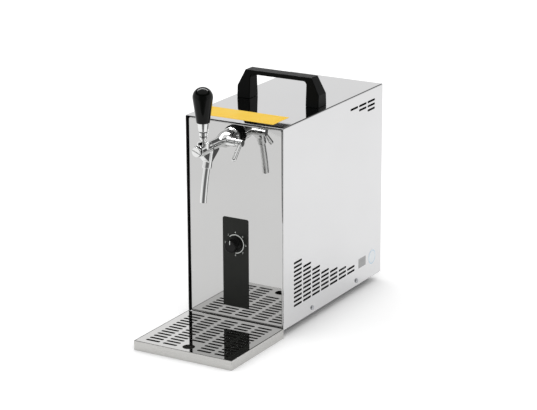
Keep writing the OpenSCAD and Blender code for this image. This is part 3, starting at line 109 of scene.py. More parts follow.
# Lamps in metres and watts, and the pieces that the strip lamp lights
SOFTBOX_LAMP = {"at": (-0.95, 0.7, 1.75), "aim": (0, -0.05, 0.2), "size": (1.5, 1.3), "power": 3}
STRIP_LAMP = {"at": (-0.39, 0.47, 1.56), "aim": (0, -0.2, 0.39), "size": (2.2, 0.2), "power": 32}
STRIP_LAMP_PIECES = [
    "knob", "rosette", "carry_handle_dressed", "tap_collar_dressed", "tap_spout_dressed", "tap_lever_dressed",
    "tap_front_cap_dressed", "tap_body_dressed", "compensator_bush_dressed", "compensator_lever_dressed",
]

# Points closer than this are one point, faces flatter than this are one face, sharper edges stay crisp
WELD = 0.005 * MM
FLAT = math.radians(0.3)
CRISP = math.radians(32)
# How strongly a piece's large faces keep their shading flat
FLAT_WEIGHT = 90


# Camera and studio


def toward_camera():
    """Unit vector from the object to the camera."""
    level = math.cos(VIEW_ELEVATION)
    return Vector((
        math.sin(VIEW_AZIMUTH) * level, -math.cos(VIEW_AZIMUTH) * level, math.sin(VIEW_ELEVATION)
    ))


def level_to_camera():
    """Unit vector towards the camera along the floor."""
    return Vector((math.sin(VIEW_AZIMUTH), -math.cos(VIEW_AZIMUTH), 0))


def add_camera():
    back = toward_camera()
    right = UP.cross(back).normalized()
    up = back.cross(right)
    cos_roll = math.cos(VIEW_ROLL)
    sin_roll = math.sin(VIEW_ROLL)
    turned = Matrix((cos_roll * right + sin_roll * up, cos_roll * up - sin_roll * right, back))
    data = bpy.data.cameras.new("photo_camera")
    data.sensor_width = SENSOR_MM
    data.lens = FOCAL_PIXELS / IMAGE_WIDTH * SENSOR_MM
    camera = bpy.data.objects.new("photo_camera", data)
    camera.matrix_world = Matrix.Translation(CAMERA_AT) @ turned.transposed().to_4x4()
    bpy.context.scene.collection.objects.link(camera)
    bpy.context.scene.camera = camera


def add_lamp(name, at, aim, size, power, shine_only=False):
    """Soft rectangular lamp, seen only in reflections. One for shine alone gives no other light."""
    data = bpy.data.lights.new(name, "AREA")
    data.shape = "RECTANGLE"
    data.size, data.size_y = size
    data.energy = power
    lamp = bpy.data.objects.new(name, data)
    lamp.location = at
    lamp.rotation_mode = "QUATERNION"
    lamp.rotation_quaternion = (Vector(aim) - Vector(at)).to_track_quat("-Z", "Y")
    lamp.visible_camera = False
    lamp.visible_diffuse = not shine_only
    bpy.context.scene.collection.objects.link(lamp)
    return lamp


def light_only(lamp, pieces):
    """Keeps a lamp's light to the named pieces."""
    lit = bpy.data.collections.new(lamp.name + "_lit")
    for name in pieces:
        lit.objects.link(bpy.data.objects[name])
    lamp.light_linking.receiver_collection = lit


def add_world():
    """White to the camera, an even sky for the light, and walls with a dark ceiling for reflections."""
    world = bpy.data.worlds.new("studio")
    bpy.context.scene.world = world
    world.use_nodes = True
    tree = world.node_tree
    tree.nodes.clear()
    add = tree.nodes.new
    link = tree.links.new
    rays = add("ShaderNodeLightPath")
    direction = add("ShaderNodeTexCoord").outputs["Generated"]
    height = add("ShaderNodeSeparateXYZ")
    link(direction, height.inputs[0])
    walls = add("ShaderNodeValToRGB")
    while len(walls.color_ramp.elements) < len(WALL_TONES):
        walls.color_ramp.elements.new(1)
    for element, (place, tone) in zip(walls.color_ramp.elements, WALL_TONES):
        element.position = place
        element.color = (tone, tone, tone, 1)
    link(height.outputs["Z"], walls.inputs[0])
    facing = add("ShaderNodeVectorMath")
    facing.operation = "DOT_PRODUCT"
    facing.inputs[1].default_value = level_to_camera()
    link(direction, facing.inputs[0])
    dark = add("ShaderNodeMapRange")
    dark.inputs["From Min"].default_value = ROOM_BEGINS
    dark.inputs["From Max"].default_value = ROOM_FULL
    dark.inputs["To Min"].default_value = 1
    dark.inputs["To Max"].default_value = ROOM_TONE
    link(facing.outputs["Value"], dark.inputs["Value"])
    seen, sky, white = (add("ShaderNodeBackground") for _ in range(3))
    link(walls.outputs["Color"], seen.inputs["Color"])
    link(dark.outputs["Result"], seen.inputs["Strength"])
    for light, strength in ((sky, SKY_STRENGTH), (white, 1)):
        light.inputs["Color"].default_value = (1, 1, 1, 1)
        light.inputs["Strength"].default_value = strength
    metal = add("ShaderNodeMixShader")
    link(rays.outputs["Is Glossy Ray"], metal.inputs["Fac"])
    link(sky.outputs[0], metal.inputs[1])
    link(seen.outputs[0], metal.inputs[2])
    shown = add("ShaderNodeMixShader")
    link(rays.outputs["Is Camera Ray"], shown.inputs["Fac"])
    link(metal.outputs[0], shown.inputs[1])
    link(white.outputs[0], shown.inputs[2])
    link(shown.outputs[0], add("ShaderNodeOutputWorld").inputs["Surface"])


def floor_paper():
    """Pale paper that takes shadows, lifted to white for the eye where it lies open, and for reflections."""
    f = Finish("floor_paper", roughness=1.0, specular_ior_level=0.0, emission_color=(1, 1, 1, 1))
    f.mottle(FLOOR_PAPER, 0.01, scale=3, detail=2)
    rays = f.add("LightPath").outputs
    lying_open = f.add("AmbientOcclusion", distance=FLOOR_CORNER).outputs["AO"]
    seen = f.math("MULTIPLY", rays["Is Camera Ray"], f.math("MULTIPLY", lying_open, FLOOR_LIFT))
    mirrored = f.math("MAXIMUM", rays["Is Glossy Ray"], rays["Is Transmission Ray"])
    lift = f.math("ADD", seen, f.math("MULTIPLY", mirrored, MIRRORED_LIFT))
    f.put(f.shader, emission_strength=lift)
    return f.material


def add_floor():
    """Plain pale floor that takes the object's shadow and ends before the camera."""
    ahead = level_to_camera()
    aside = UP.cross(ahead)
    ends = (-FLOOR_REACH, FLOOR_FRONT)
    sides = (-FLOOR_REACH, FLOOR_REACH)
    corners = [out * ahead + side * aside for out in ends for side in sides]
    mesh = bpy.data.meshes.new("floor")
    mesh.from_pydata(corners, [], [(0, 2, 3, 1)])
    mesh.materials.append(floor_paper())
    floor = bpy.data.objects.new("floor", mesh)
    bpy.context.scene.collection.objects.link(floor)


# Materials

# Raw cut edges, and painted shade on slot walls and unlit inner faces: their colour, the reach of a slot's
# dark rim, and the tilt from which it counts as rim
CUT_EDGE_AND_SHADE = (0.012, 0.0115, 0.011)
CUT_AND_SHADE_ROUGH = 0.6
SLOT_RIM = 0.5 * MM
FACE_ON = 0.985

# Roughness of all noise, and where the Mix node keeps its share, its two colours and their mix
NOISE_ROUGH = 0.55
MIX_COLOUR_INPUTS = (0, 6, 7)
MIX_COLOUR_OUTPUT = 2


class Finish:
    """A material under construction: short calls add nodes and join them to the shader."""

    def __init__(self, name, **shader):
        self.material = bpy.data.materials.new(name)
        self.material.use_nodes = True
        self.tree = self.material.node_tree
        self.shader = self.tree.nodes["Principled BSDF"]
        self.normal = None
        self.put(self.shader, **shader)

    def feed(self, socket, value):
        """Links an input to another node's output, or sets its value."""
        if isinstance(value, bpy.types.NodeSocket):
            self.tree.links.new(value, socket)
        else:
            socket.default_value = value

    def put(self, node, **values):
        """Feeds inputs of a node by name, and changes settings that are no inputs."""
        for key, value in values.items():
            name = key.replace("_", " ")
            found = [s for s in node.inputs if s.enabled and s.name.lower() == name]
            if found:
                self.feed(found[0], value)
            else:
                setattr(node, key, value)
        return node

    def add(self, kind, **values):
        return self.put(self.tree.nodes.new("ShaderNode" + kind), **values)

    def place(self, stretch=(1, 1, 1)):
        """Coordinates in the part's frame, stretched along the axes."""
        here = self.add("TexCoord").outputs["Object"]
        return self.add("Mapping", vector=here, scale=stretch).outputs[0]

    def noise(self, scale, detail=3.0, stretch=(1, 1, 1)):
        return self.add(
            "TexNoise", vector=self.place(stretch), scale=scale, detail=detail, roughness=NOISE_ROUGH
        ).outputs[0]

    def cells(self, scale):
        return self.add("TexVoronoi", vector=self.place(), scale=scale).outputs["Distance"]

    def math(self, operation, first, second=0.0):
        node = self.tree.nodes.new("ShaderNodeMath")
        node.operation = operation
        for socket, value in zip(node.inputs, (first, second)):
            self.feed(socket, value)
        return node.outputs[0]

    def axes(self, output):
        """X, Y and Z of the coordinates or the normal in the piece's own frame."""
        return self.add("SeparateXYZ", vector=self.add("TexCoord").outputs[output]).outputs

    def cover_with(self, share, colour, rough):
        """Lays another colour and roughness over the shader where a share is 1."""
        base = self.shader.inputs["Base Color"]
        self.tree.links.new(self.blend(share, base.links[0].from_socket, (*colour, 1)), base)
        grain = self.shader.inputs["Roughness"]
        kept = self.math("MULTIPLY", grain.links[0].from_socket, self.math("SUBTRACT", 1.0, share))
        self.tree.links.new(self.math("ADD", kept, self.math("MULTIPLY", share, rough)), grain)

    def slot_walls(self, axis):
        """Share that is 1 on the walls and rims of slots in a sheet that faces along an axis."""
        soft = self.add("Bevel", radius=SLOT_RIM).outputs[0]
        facing = self.add("SeparateXYZ", vector=soft).outputs[axis]
        return self.math("LESS_THAN", self.math("ABSOLUTE", facing), FACE_ON)

    def blacken(self, share):
        """Takes the shine and the colour off where a share is 1: on raw cut edges, and as painted shade on
        slot walls and unlit faces.
        """
        self.cover_with(share, CUT_EDGE_AND_SHADE, CUT_AND_SHADE_ROUGH)
        bare = self.math("SUBTRACT", 1.0, share)
        self.put(self.shader, metallic=bare, specular_ior_level=bare)

    def span(self, value, low, high, start=0.3, end=0.7):
        """Value between start and end spread over low to high."""
        return self.add(
            "MapRange", value=value, from_min=start, from_max=end, to_min=low, to_max=high
        ).outputs[0]

    def blend(self, share, first, second):
        """Colour between a first, where the share is 0, and a second, where it is 1."""
        node = self.tree.nodes.new("ShaderNodeMix")
        node.data_type = "RGBA"
        for place, value in zip(MIX_COLOUR_INPUTS, (share, first, second)):
            self.feed(node.inputs[place], value)
        return node.outputs[MIX_COLOUR_OUTPUT]

    def mottle(self, colour, amount, scale, detail=3.0, stretch=(1, 1, 1)):
        """Base colour that wanders a little lighter and darker."""
        light = [min(1, c * (1 + amount)) for c in colour] + [1]
        dark = [c * (1 - amount) for c in colour] + [1]
        share = self.span(self.noise(scale, detail, stretch), 0, 1)
        self.put(self.shader, base_color=self.blend(share, dark, light))

    def rough(self, low, high, scale, detail=4.0, stretch=(1, 1, 1)):
        self.put(self.shader, roughness=self.span(self.noise(scale, detail, stretch), low, high))

    def bump(self, height, depth):
        """Adds relief of a given depth in metres on top of what is there."""
        node = self.add("Bump", height=height, distance=depth)
        if self.normal:
            self.tree.links.new(self.normal, node.inputs["Normal"])
        self.normal = node.outputs[0]
        self.put(self.shader, normal=self.normal)

    def worn_edges(self, colour, reach, amount):
        """Lighter colour where an edge turns within a short reach, as wear and as a painted highlight."""
        soft = self.add("Bevel", radius=reach).outputs[0]
        true = self.add("NewGeometry").outputs["Normal"]
        dot = self.add("VectorMath", operation="DOT_PRODUCT")
        self.tree.links.new(soft, dot.inputs[0])
        self.tree.links.new(true, dot.inputs[1])
        edge = self.span(dot.outputs["Value"], amount, 0, start=0.75, end=0.98)
        under = self.shader.inputs["Base Color"].links[0].from_socket
        self.put(self.shader, base_color=self.blend(edge, under, (*colour, 1)))


def mirror_sheet(name, colour, rough, wave=0.2):
    """Mirror-polished sheet: faint waves, wiping haze and very fine polishing lines."""
    f = Finish(name, metallic=1.0)
    f.mottle(colour, 0.015, scale=5, detail=2)
    f.rough(rough, rough + 0.03, scale=18, detail=5)
    f.bump(f.noise(7, detail=1.5), wave * MM)
    f.bump(f.noise(60, detail=2, stretch=(1, 1, 18)), 0.002 * MM)
    return f


# Cover: depth of its bright skin, of the bright lip inside its ends where the painted shade inside stops, and
# of the roll below its top
SHEET_SKIN = 0.8 * MM
BRIGHT_LIP = 1.9 * MM
TOP_ROLL = 4 * MM


def cover_steel():
    """Sheet of the cabinet's cover, with painted shade inside it and on the walls of its vents."""
    f = mirror_sheet("cover_mirror_steel", (0.665, 0.665, 0.67), 0.03)
    place = f.axes("Object")
    ends = f.math("ABSOLUTE", f.math("SUBTRACT", place["Y"], MIDDLE_Y))
    side = f.math("LESS_THAN", place["Z"], TOP_Z - TOP_ROLL)
    side = f.math("MULTIPLY", side, f.math("LESS_THAN", ends, REAR_Y - MIDDLE_Y - SHEET_SKIN))
    wall = f.math("MULTIPLY", side, f.slot_walls("X"))
    within = f.math("LESS_THAN", f.math("ABSOLUTE", place["X"]), RIGHT_X - SHEET_SKIN)
    inside = f.math("MULTIPLY", within, f.math("LESS_THAN", place["Z"], TOP_Z - SHEET_SKIN))
    deep = f.math("LESS_THAN", ends, REAR_Y - MIDDLE_Y - BRIGHT_LIP)
    # Painted shade: the vent walls and the cover's inside go dark and dull
    f.blacken(f.math("MAXIMUM", wall, f.math("MULTIPLY", inside, deep)))
    return f.material


# Height of the painted shade along the front's lower fold
FOLD_H = 2.6 * MM


def front_steel():
    """Sheet of the front: a darker copy of the cover's steel as painted shade, with painted shade along its
    lower fold.
    """
    # Darker than the cover's steel: painted shade for the dimmer surroundings that the front reflects
    f = mirror_sheet("front_mirror_steel", (0.54, 0.539, 0.535), 0.012, wave=0.05)
    # Painted shade of the gap above the tray, along the lower fold
    fold = f.math("LESS_THAN", f.axes("Object")["Z"], cover_low.z + FOLD_H)
    f.blacken(fold)
    return f.material


def slotted_steel(name, colour, wave, facing):
    """Polished sheet that faces along the named axis, with painted shade on the walls of its slots."""
    f = mirror_sheet(name, colour, 0.03, wave)
    # Painted shade on the slot walls
    f.blacken(f.slot_walls(facing))
    return f.material


# Pan: depth of its bright skin and of its bright rim, and the painted shade inside it under the grid
PAN_SKIN = 0.5 * MM
PAN_RIM = 1.4 * MM
PAN_SHADE_COLOUR = (0.14, 0.135, 0.125)
PAN_SHADE_ROUGH = 0.45


def pan_steel():
    """Satin sheet of the drip pan, with painted shade inside it under the grid."""
    f = brushed("pan_satin_steel", (0.54, 0.535, 0.52), 0.16)
    low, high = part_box("drip_pan")
    middle = (low + high) / 2
    half = (high - low) / 2
    place = f.axes("Object")
    inside = []
    for axis, centre, reach in (("X", middle.x, half.x), ("Y", middle.y, half.y)):
        off = f.math("ABSOLUTE", f.math("SUBTRACT", place[axis], centre))
        inside.append(f.math("LESS_THAN", off, reach - PAN_SKIN))
    below = f.math("LESS_THAN", place["Z"], high.z - PAN_RIM)
    share = f.math("MULTIPLY", f.math("MULTIPLY", *inside), below)
    # Painted shade inside the pan
    f.cover_with(share, PAN_SHADE_COLOUR, PAN_SHADE_ROUGH)
    return f.material


def brushed(name, colour, rough, along=(0.02, 1, 1)):
    """Satin sheet with fine lines along one axis."""
    f = Finish(name, metallic=1.0)
    f.mottle(colour, 0.04, scale=900, detail=2, stretch=along)
    f.rough(rough, rough + 0.12, scale=700, detail=3, stretch=along)
    f.bump(f.noise(1500, detail=2, stretch=along), 0.004 * MM)
    f.bump(f.noise(9, detail=1.5), 0.15 * MM)
    return f


def brushed_sheet(*settings):
    return brushed(*settings).material


def plated(name, colour, rough):
    """Chrome plate: clear, with the slight unevenness of a polished casting."""
    f = Finish(name, metallic=1.0)
    f.mottle(colour, 0.02, scale=40, detail=2)
    f.rough(rough, rough + 0.04, scale=120, detail=4)
    f.bump(f.noise(90, detail=2), 0.012 * MM)
    return f.material


def cast_metal(name, colour, rough, grain, depth):
    """Raw or drawn metal with a granular skin and dull patches."""
    f = Finish(name, metallic=1.0)
    f.mottle(colour, 0.1, scale=35, detail=5)
    f.rough(rough, rough + 0.2, scale=60, detail=5)
    f.bump(f.noise(grain, detail=4), depth * MM)
    return f.material


def tarnished(name, colour, stain, rough):
    """Copper tube with brown tarnish in patches."""
    f = Finish(name, metallic=1.0)
    patch = f.span(f.noise(45, detail=6), 0, 0.8, start=0.45, end=0.7)
    f.put(f.shader, base_color=f.blend(patch, (*colour, 1), (*stain, 1)))
    f.put(f.shader, roughness=f.span(patch, rough, rough + 0.3, start=0, end=1))
    f.bump(f.noise(700, detail=3), 0.01 * MM)
    return f.material


def moulded(name, colour, rough, grain, depth, gloss=0.5, wear_and_highlight=None):
    """Moulded plastic or rubber: fine grain, slight clouding, and paler edges as wear where it is handled and
    as a painted highlight.
    """
    f = Finish(name, specular_ior_level=gloss)
    f.mottle(colour, 0.12, scale=30, detail=4)
    f.rough(rough, min(1, rough + 0.1), scale=200, detail=4)
    f.bump(f.noise(grain, detail=3), depth * MM)
    if wear_and_highlight:
        f.worn_edges(wear_and_highlight, 0.8 * MM, 0.5)
    return f.material


def lacquered(name, colour, rough, peel):
    """Sprayed paint with orange peel."""
    f = Finish(name, coat_weight=0.4, coat_roughness=0.12)
    f.mottle(colour, 0.1, scale=25, detail=4)
    f.rough(rough, rough + 0.12, scale=80, detail=4)
    f.bump(f.noise(260, detail=2), peel * MM)
    return f.material


def foamed(name, colour):
    """Closed-cell foam with an open, matt skin."""
    f = Finish(name, specular_ior_level=0.2)
    f.mottle(colour, 0.25, scale=120, detail=5)
    f.rough(0.85, 1.0, scale=90)
    f.bump(f.cells(420), 0.25 * MM)
    return f.material


def film(name, colour, other, rough, gloss):
    """Printed film: ink of two near tones in soft clouds, slightly uneven."""
    f = Finish(name, specular_ior_level=gloss)
    cloud = f.span(f.noise(14, detail=3), 0, 1, start=0.25, end=0.75)
    f.put(f.shader, base_color=f.blend(cloud, (*colour, 1), (*other, 1)))
    f.rough(rough, rough + 0.12, scale=60)
    f.bump(f.noise(30, detail=2), 0.05 * MM)
    return f.material


# One finish for each material slot of the record: name, colour, roughness, then grain and its relief in mm
FINISHES = {
    "polished_steel": cover_steel(),
    "plain_steel": cast_metal("zinc_plated_sheet", (0.52, 0.53, 0.55), 0.28, 240, 0.01),
    "satin_steel": pan_steel(),
    "bare_steel": cast_metal("turned_steel", (0.6, 0.6, 0.61), 0.2, 500, 0.006),
    "chrome": plated("tap_chrome", (0.74, 0.745, 0.74), 0.02),
    "black_plastic": moulded(
        "grained_black_plastic", (0.0026, 0.003, 0.0028), 0.3, 1300, 0.012, 0.06, (0.012, 0.013, 0.013)
    ),
    "black_knob": moulded("dial_plastic", (0.004, 0.004, 0.0042), 0.3, 900, 0.01, 0.2),
    "gloss_black": moulded("knob_lacquer", (0.0016, 0.002, 0.0016), 0.03, 60, 0.003, 0.16),
    "black_plate": moulded("satin_black_plate", (0.0135, 0.0145, 0.0125), 0.36, 700, 0.008, 0.18),
    "black_rubber": moulded("black_rubber", (0.014, 0.014, 0.014), 0.75, 800, 0.03, 0.3),
    "white_plastic": moulded("white_acetal", (0.8, 0.8, 0.78), 0.35, 700, 0.01),
    "cream_plastic": moulded("cream_bakelite", (0.62, 0.57, 0.44), 0.4, 600, 0.015),
    "copper": tarnished("copper_tube", (0.78, 0.4, 0.26), (0.3, 0.16, 0.1), 0.22),
    "foam": foamed("insulation_foam", (0.035, 0.036, 0.04)),
    "cast_aluminium": cast_metal("cast_aluminium", (0.62, 0.63, 0.64), 0.42, 420, 0.05),
    "fin_aluminium": brushed_sheet("fin_aluminium", (0.74, 0.75, 0.76), 0.28, (1, 1, 0.03)),
    "black_paint": lacquered("compressor_paint", (0.006, 0.006, 0.007), 0.5, 0.03),
    "motor_grey": cast_metal("motor_casing", (0.2, 0.2, 0.21), 0.4, 350, 0.03),
    "fan_plastic": moulded("fan_nylon", (0.04, 0.04, 0.045), 0.45, 500, 0.02),
    "hose": moulded("milky_hose", (0.68, 0.68, 0.64), 0.3, 250, 0.01),
    "pump_grey": moulded("pump_casing", (0.05, 0.06, 0.1), 0.5, 650, 0.03),
    "collet_blue": moulded("collet_acetal", (0.05, 0.16, 0.42), 0.35, 700, 0.01),
    "rocker_red": moulded("rocker_red", (0.3, 0.012, 0.01), 0.25, 500, 0.01),
}
# Near-black finishes for inner parts behind the vents: painted shade of the cabinet's inside
SHADE_DARK_SHEET = cast_metal("shade_dark_sheet", (0.03, 0.03, 0.032), 0.6, 240, 0.01)
SHADE_DARK_TUBE = moulded("shade_dark_tube", (0.012, 0.012, 0.012), 0.8, 500, 0.05, 0.2)

# Nodes whose finish differs from that of their slot
NODE_FINISHES = {
    "front_panel": front_steel(),
    "rear_panel": slotted_steel("rear_mirror_steel", (0.74, 0.74, 0.745), 0.2, "Y"),
    "drip_grid": slotted_steel("grid_mirror_steel", (0.76, 0.755, 0.745), 0.1, "Z"),
    # Inner parts darkened as painted shade behind the vents
    "base_plate": SHADE_DARK_SHEET,
    "cooler_shelf": SHADE_DARK_SHEET,
    "refrigerant_lines": SHADE_DARK_TUBE,
    "filter_drier": SHADE_DARK_TUBE,
}

# Films and prints
YELLOW_FILM = film("yellow_film", (0.96, 0.59, 0.04), (0.97, 0.66, 0.1), 0.4, 0.08)
LABEL_FOIL = brushed_sheet("blank_label_foil", (0.36, 0.36, 0.36), 0.38, (1, 0.05, 1))
STICKER_FILM = film("sticker_film", (0.77, 0.8, 0.82), (0.8, 0.83, 0.85), 0.35, 0.3)
STICKER_RING = film("sticker_ring_ink", (0.4, 0.6, 0.76), (0.5, 0.68, 0.8), 0.35, 0.3)
WHITE_INK = film("white_print", (0.72, 0.74, 0.72), (0.62, 0.64, 0.62), 0.5, 0.3)


# Mesh kit


def slot_of(node):
    return nodes[node].data.materials[0].name


def finish_of(node):
    return NODE_FINISHES.get(node) or FINISHES[slot_of(node)]


def finished(work, name):
    """Turns a bmesh into a mesh with outward faces, smooth but for its crisp edges."""
    bmesh.ops.recalc_face_normals(work, faces=work.faces)
    mesh = bpy.data.meshes.new(name)
    work.to_mesh(mesh)
    work.free()
    mesh.shade_smooth()
    mesh.set_sharp_from_angle(angle=CRISP)
    return mesh


def add_piece(name, mesh, body, finish, slot=None, stands_for=()):
    """Puts a mesh into the scene as a piece that rides on a body."""
    mesh.materials.clear()
    mesh.materials.append(finish)
    piece = bpy.data.objects.new(name, mesh)
    bpy.context.scene.collection.objects.link(piece)
    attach(piece, body)
    if stands_for:
        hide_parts(*stands_for)
    return piece


def soften(piece, width):
    """Rounds the piece's crisp edges."""
    bevel = piece.modifiers.new("soft_edges", "BEVEL")
    bevel.width = width
    bevel.segments = 2
    bevel.limit_method = "ANGLE"
    bevel.angle_limit = CRISP
    bevel.use_clamp_overlap = False
    bevel.harden_normals = True


def joined(node):
    """Mesh of a CAD node with the seams between its faces closed and its flat faces whole."""
    work = bmesh.new()
    work.from_mesh(nodes[node].data)
    bmesh.ops.remove_doubles(work, verts=work.verts, dist=WELD)
    bmesh.ops.dissolve_limit(work, angle_limit=FLAT, verts=work.verts, edges=work.edges)
    mesh = finished(work, node + "_dressed")
    if "custom_normal" in mesh.attributes:
        mesh.attributes.remove(mesh.attributes["custom_normal"])
    return mesh


def dress(node, edge=0.0):
    """Stands a copy of a CAD node with softened edges in its place."""
    body = nodes[node]["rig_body"]
    piece = add_piece(node + "_dressed", joined(node), body, finish_of(node), slot_of(node), [node])
    if edge:
        soften(piece, edge)
    flat = piece.modifiers.new("flat_faces", "WEIGHTED_NORMAL")
    flat.keep_sharp = True
    flat.weight = FLAT_WEIGHT
    return piece


def ring_points(centre, axis, radius, steps):
    """Points of a ring about an axis. The radius may be a function of the turn."""
    side = axis.orthogonal().normalized()
    other = axis.cross(side)
    for i in range(steps):
        turn = 2 * math.pi * i / steps
        reach = radius(turn) if callable(radius) else radius
        yield centre + reach * (math.cos(turn) * side + math.sin(turn) * other)


def lathe(name, outline, at, axis, steps=96):
    """Mesh of an outline of (radius, height) turned about an axis. A radius may be a function of the turn."""
    work = bmesh.new()
    rings = []
    for radius, height in outline:
        centre = at + height * axis
        points = [centre] if radius == 0 else ring_points(centre, axis, radius, steps)
        rings.append([work.verts.new(p) for p in points])
    for low, high in zip(rings, rings[1:]):
        for i in range(steps):
            j = (i + 1) % steps
            corners = [low[i % len(low)], low[j % len(low)], high[j % len(high)], high[i % len(high)]]
            work.faces.new(dict.fromkeys(corners))
    return finished(work, name)


def arc(centre, radius, start, end, steps):
    """Points of an arc in a plane, angles in degrees."""
    angles = [math.radians(start + (end - start) * i / steps) for i in range(steps + 1)]
    return [(centre[0] + radius * math.cos(a), centre[1] + radius * math.sin(a)) for a in angles]


def round_rectangle(width, height, radius, steps=6):
    """Outline of a rectangle with round corners about its middle."""
    x = width / 2 - radius
    y = height / 2 - radius
    corners = [(x, y, 0), (-x, y, 90), (-x, -y, 180), (x, -y, 270)]
    return [p for cx, cy, a in corners for p in arc((cx, cy), radius, a, a + 90, steps)]


def band(inner, outer, start, end, steps):
    """Ring or part of one as a row of four-sided outlines."""
    inside = arc((0, 0), inner, start, end, steps)
    outside = arc((0, 0), outer, start, end, steps)
    return [[inside[i], outside[i], outside[i + 1], inside[i + 1]] for i in range(steps)]


def slab(name, outlines, at, across, up, thickness):
    """Flat outlines in a plane, raised by a thickness along the plane's normal."""
    work = bmesh.new()
    normal = across.cross(up)
    for outline in outlines:
        points = [at + x * across + y * up for x, y in outline]
        low = [work.verts.new(p) for p in points]
        high = [work.verts.new(p + thickness * normal) for p in points]
        work.faces.new(low)
        work.faces.new(high)
        for i in range(len(points)):
            j = (i + 1) % len(points)
            work.faces.new((low[i], low[j], high[j], high[i]))
    return finished(work, name)


# CAD nodes that show

# Widths to which their edges are rounded
EDGES = {
    "wrap_cover": 0.25 * MM,
    "front_panel": 0,
    "rear_panel": 0.2 * MM,
    "cabinet_screws": 0.3 * MM,
    "rubber_feet": 0.8 * MM,
    "carry_handle": 1.0 * MM,
    "control_plate": 0.25 * MM,
    "drip_pan": 0.45 * MM,
    "drip_grid": 0.15 * MM,
    "push_in_fittings": 0.4 * MM,
    "switch_housing": 0.4 * MM,
    "switch_rocker": 0.4 * MM,
    "cable_gland": 0.4 * MM,
    "beer_collet": 0.3 * MM,
    "air_collet": 0.3 * MM,
    "tap_collar": 0.3 * MM,
    "tap_spout": 0.3 * MM,
    "tap_lever": 0.3 * MM,
    "tap_front_cap": 0.3 * MM,
    "compensator_bush": 0.3 * MM,
    "compensator_lever": 0.3 * MM,
}

# Tap's casting: size, strength and rounds of its smoothing, and the reach of its passages, which stay sharp
CAST_GRAIN = 0.35 * MM
CAST_MELT = 0.5
CAST_ROUNDS = 14
PASSAGE_R = 7.2 * MM


def cast_tap_body():
    """Rounds the outside of the tap's casting and leaves its passages as they are."""
    piece = dress("tap_body")
    piece.modifiers.clear()
    skin = piece.modifiers.new("cast_skin", "REMESH")
    skin.mode = "VOXEL"
    skin.voxel_size = CAST_GRAIN
    skin.use_smooth_shade = True
    shape = piece.evaluated_get(bpy.context.evaluated_depsgraph_get())
    mesh = bpy.data.meshes.new_from_object(shape)
    piece.modifiers.clear()
    piece.data = mesh
    low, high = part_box("lever_pin")
    axis_z = (low.z + high.z) / 2
    outside = [v.index for v in mesh.vertices if math.hypot(v.co.x, v.co.z - axis_z) > PASSAGE_R]
    piece.vertex_groups.new(name="outside").add(outside, 1.0, "REPLACE")
    melt = piece.modifiers.new("cast_fillets", "SMOOTH")
    melt.vertex_group = "outside"
    melt.factor = CAST_MELT
    melt.iterations = CAST_ROUNDS


def dress_inside():
    """The nodes that keep their own mesh get their own finish or that of their slot."""
    for node, piece in nodes.items():
        if not piece.hide_render:
            piece.material_slots[0].material = finish_of(node)


# Turned pieces

# Steps of the turn for each flute or rib
RIB_STEPS = 8

# Knob: radius and rounding of its foot, and radius of the stud in it
KNOB_FOOT_R = 10.2 * MM
KNOB_EDGE = 0.9 * MM
STUD_R = 4.1 * MM


def add_knob():
    """Lacquered knob: a straight taper that runs into a round head."""
    low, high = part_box("tap_knob")
    radius = (high.x - low.x) / 2
    middle = high.z - low.z - radius
    taper = math.asin(radius / math.hypot(KNOB_FOOT_R, middle)) - math.atan2(KNOB_FOOT_R, middle)
    outline = [(STUD_R, 0), (KNOB_FOOT_R - 2 * KNOB_EDGE, 0)]
    outline += arc((KNOB_FOOT_R - KNOB_EDGE, KNOB_EDGE), KNOB_EDGE, -90, -math.degrees(taper), 6)
    outline += arc((0, middle), radius, -math.degrees(taper), 89, 40)
    outline += [(0, middle + radius)]
    at = Vector(((low.x + high.x) / 2, (low.y + high.y) / 2, low.z))
    mesh = lathe("knob", outline, at, UP)
    add_piece("knob", mesh, "tap_lever", FINISHES["gloss_black"], "gloss_black", ["tap_knob"])


# Black rings as painted shade in the lever stem's grooves, with radius and height over the hinge, and the
# ring of painted shade behind the front cap's rim
SHADE_RING_T = 1.3 * MM
STEM_SHADE_RINGS = [(5.2 * MM, 19.1 * MM), (5.9 * MM, 26 * MM)]
CAP_SHADE_RING = 0.55 * MM
CAP_RIM_L = 4.5 * MM


def ring_outline(radius, thickness):
    """Outline of a ring with a rounded rim."""
    inner = radius - 2 * thickness
    middle = radius - thickness / 2
    rim = arc((middle, thickness / 2), thickness / 2, -60, 60, 6)
    return [(inner, 0), (middle, 0), *rim, (middle, thickness), (inner, thickness), (inner, 0)]


def add_gaskets():
    """Black rings as painted shade in the two grooves of the lever's stem and behind the rim of the front
    cap.
    """
    rubber = FINISHES["black_rubber"]
    low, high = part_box("lever_pin")
    hinge = (low + high) / 2
    for i, (radius, up) in enumerate(STEM_SHADE_RINGS):
        mesh = lathe(f"stem_gasket_{i + 1}", ring_outline(radius, SHADE_RING_T), hinge + up * UP, UP, steps=64)
        add_piece(mesh.name, mesh, "tap_lever", rubber, "black_rubber")
    low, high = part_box("tap_front_cap")
    radius = (high.z - low.z) / 2 + CAP_SHADE_RING
    at = Vector((0, low.y + CAP_RIM_L, (low.z + high.z) / 2))
    mesh = lathe("cap_shade_ring", ring_outline(radius, 2 * CAP_SHADE_RING), at, FORWARD, steps=64)
    add_piece("cap_shade_ring", mesh, "cabinet", rubber, "black_rubber")


# Dial: flutes of its grip, length of its skirt, step from skirt to grip, and hollows of its rear and face
DIAL_FLUTES = 28
FLUTE_DEEP = 0.35 * MM
FLUTE_START = 0.6 * MM
DIAL_SKIRT_L = 5 * MM
DIAL_STEP_IN = 1.5 * MM
DIAL_HOLLOW = 0.4 * MM
DIAL_DISH = 0.55 * MM
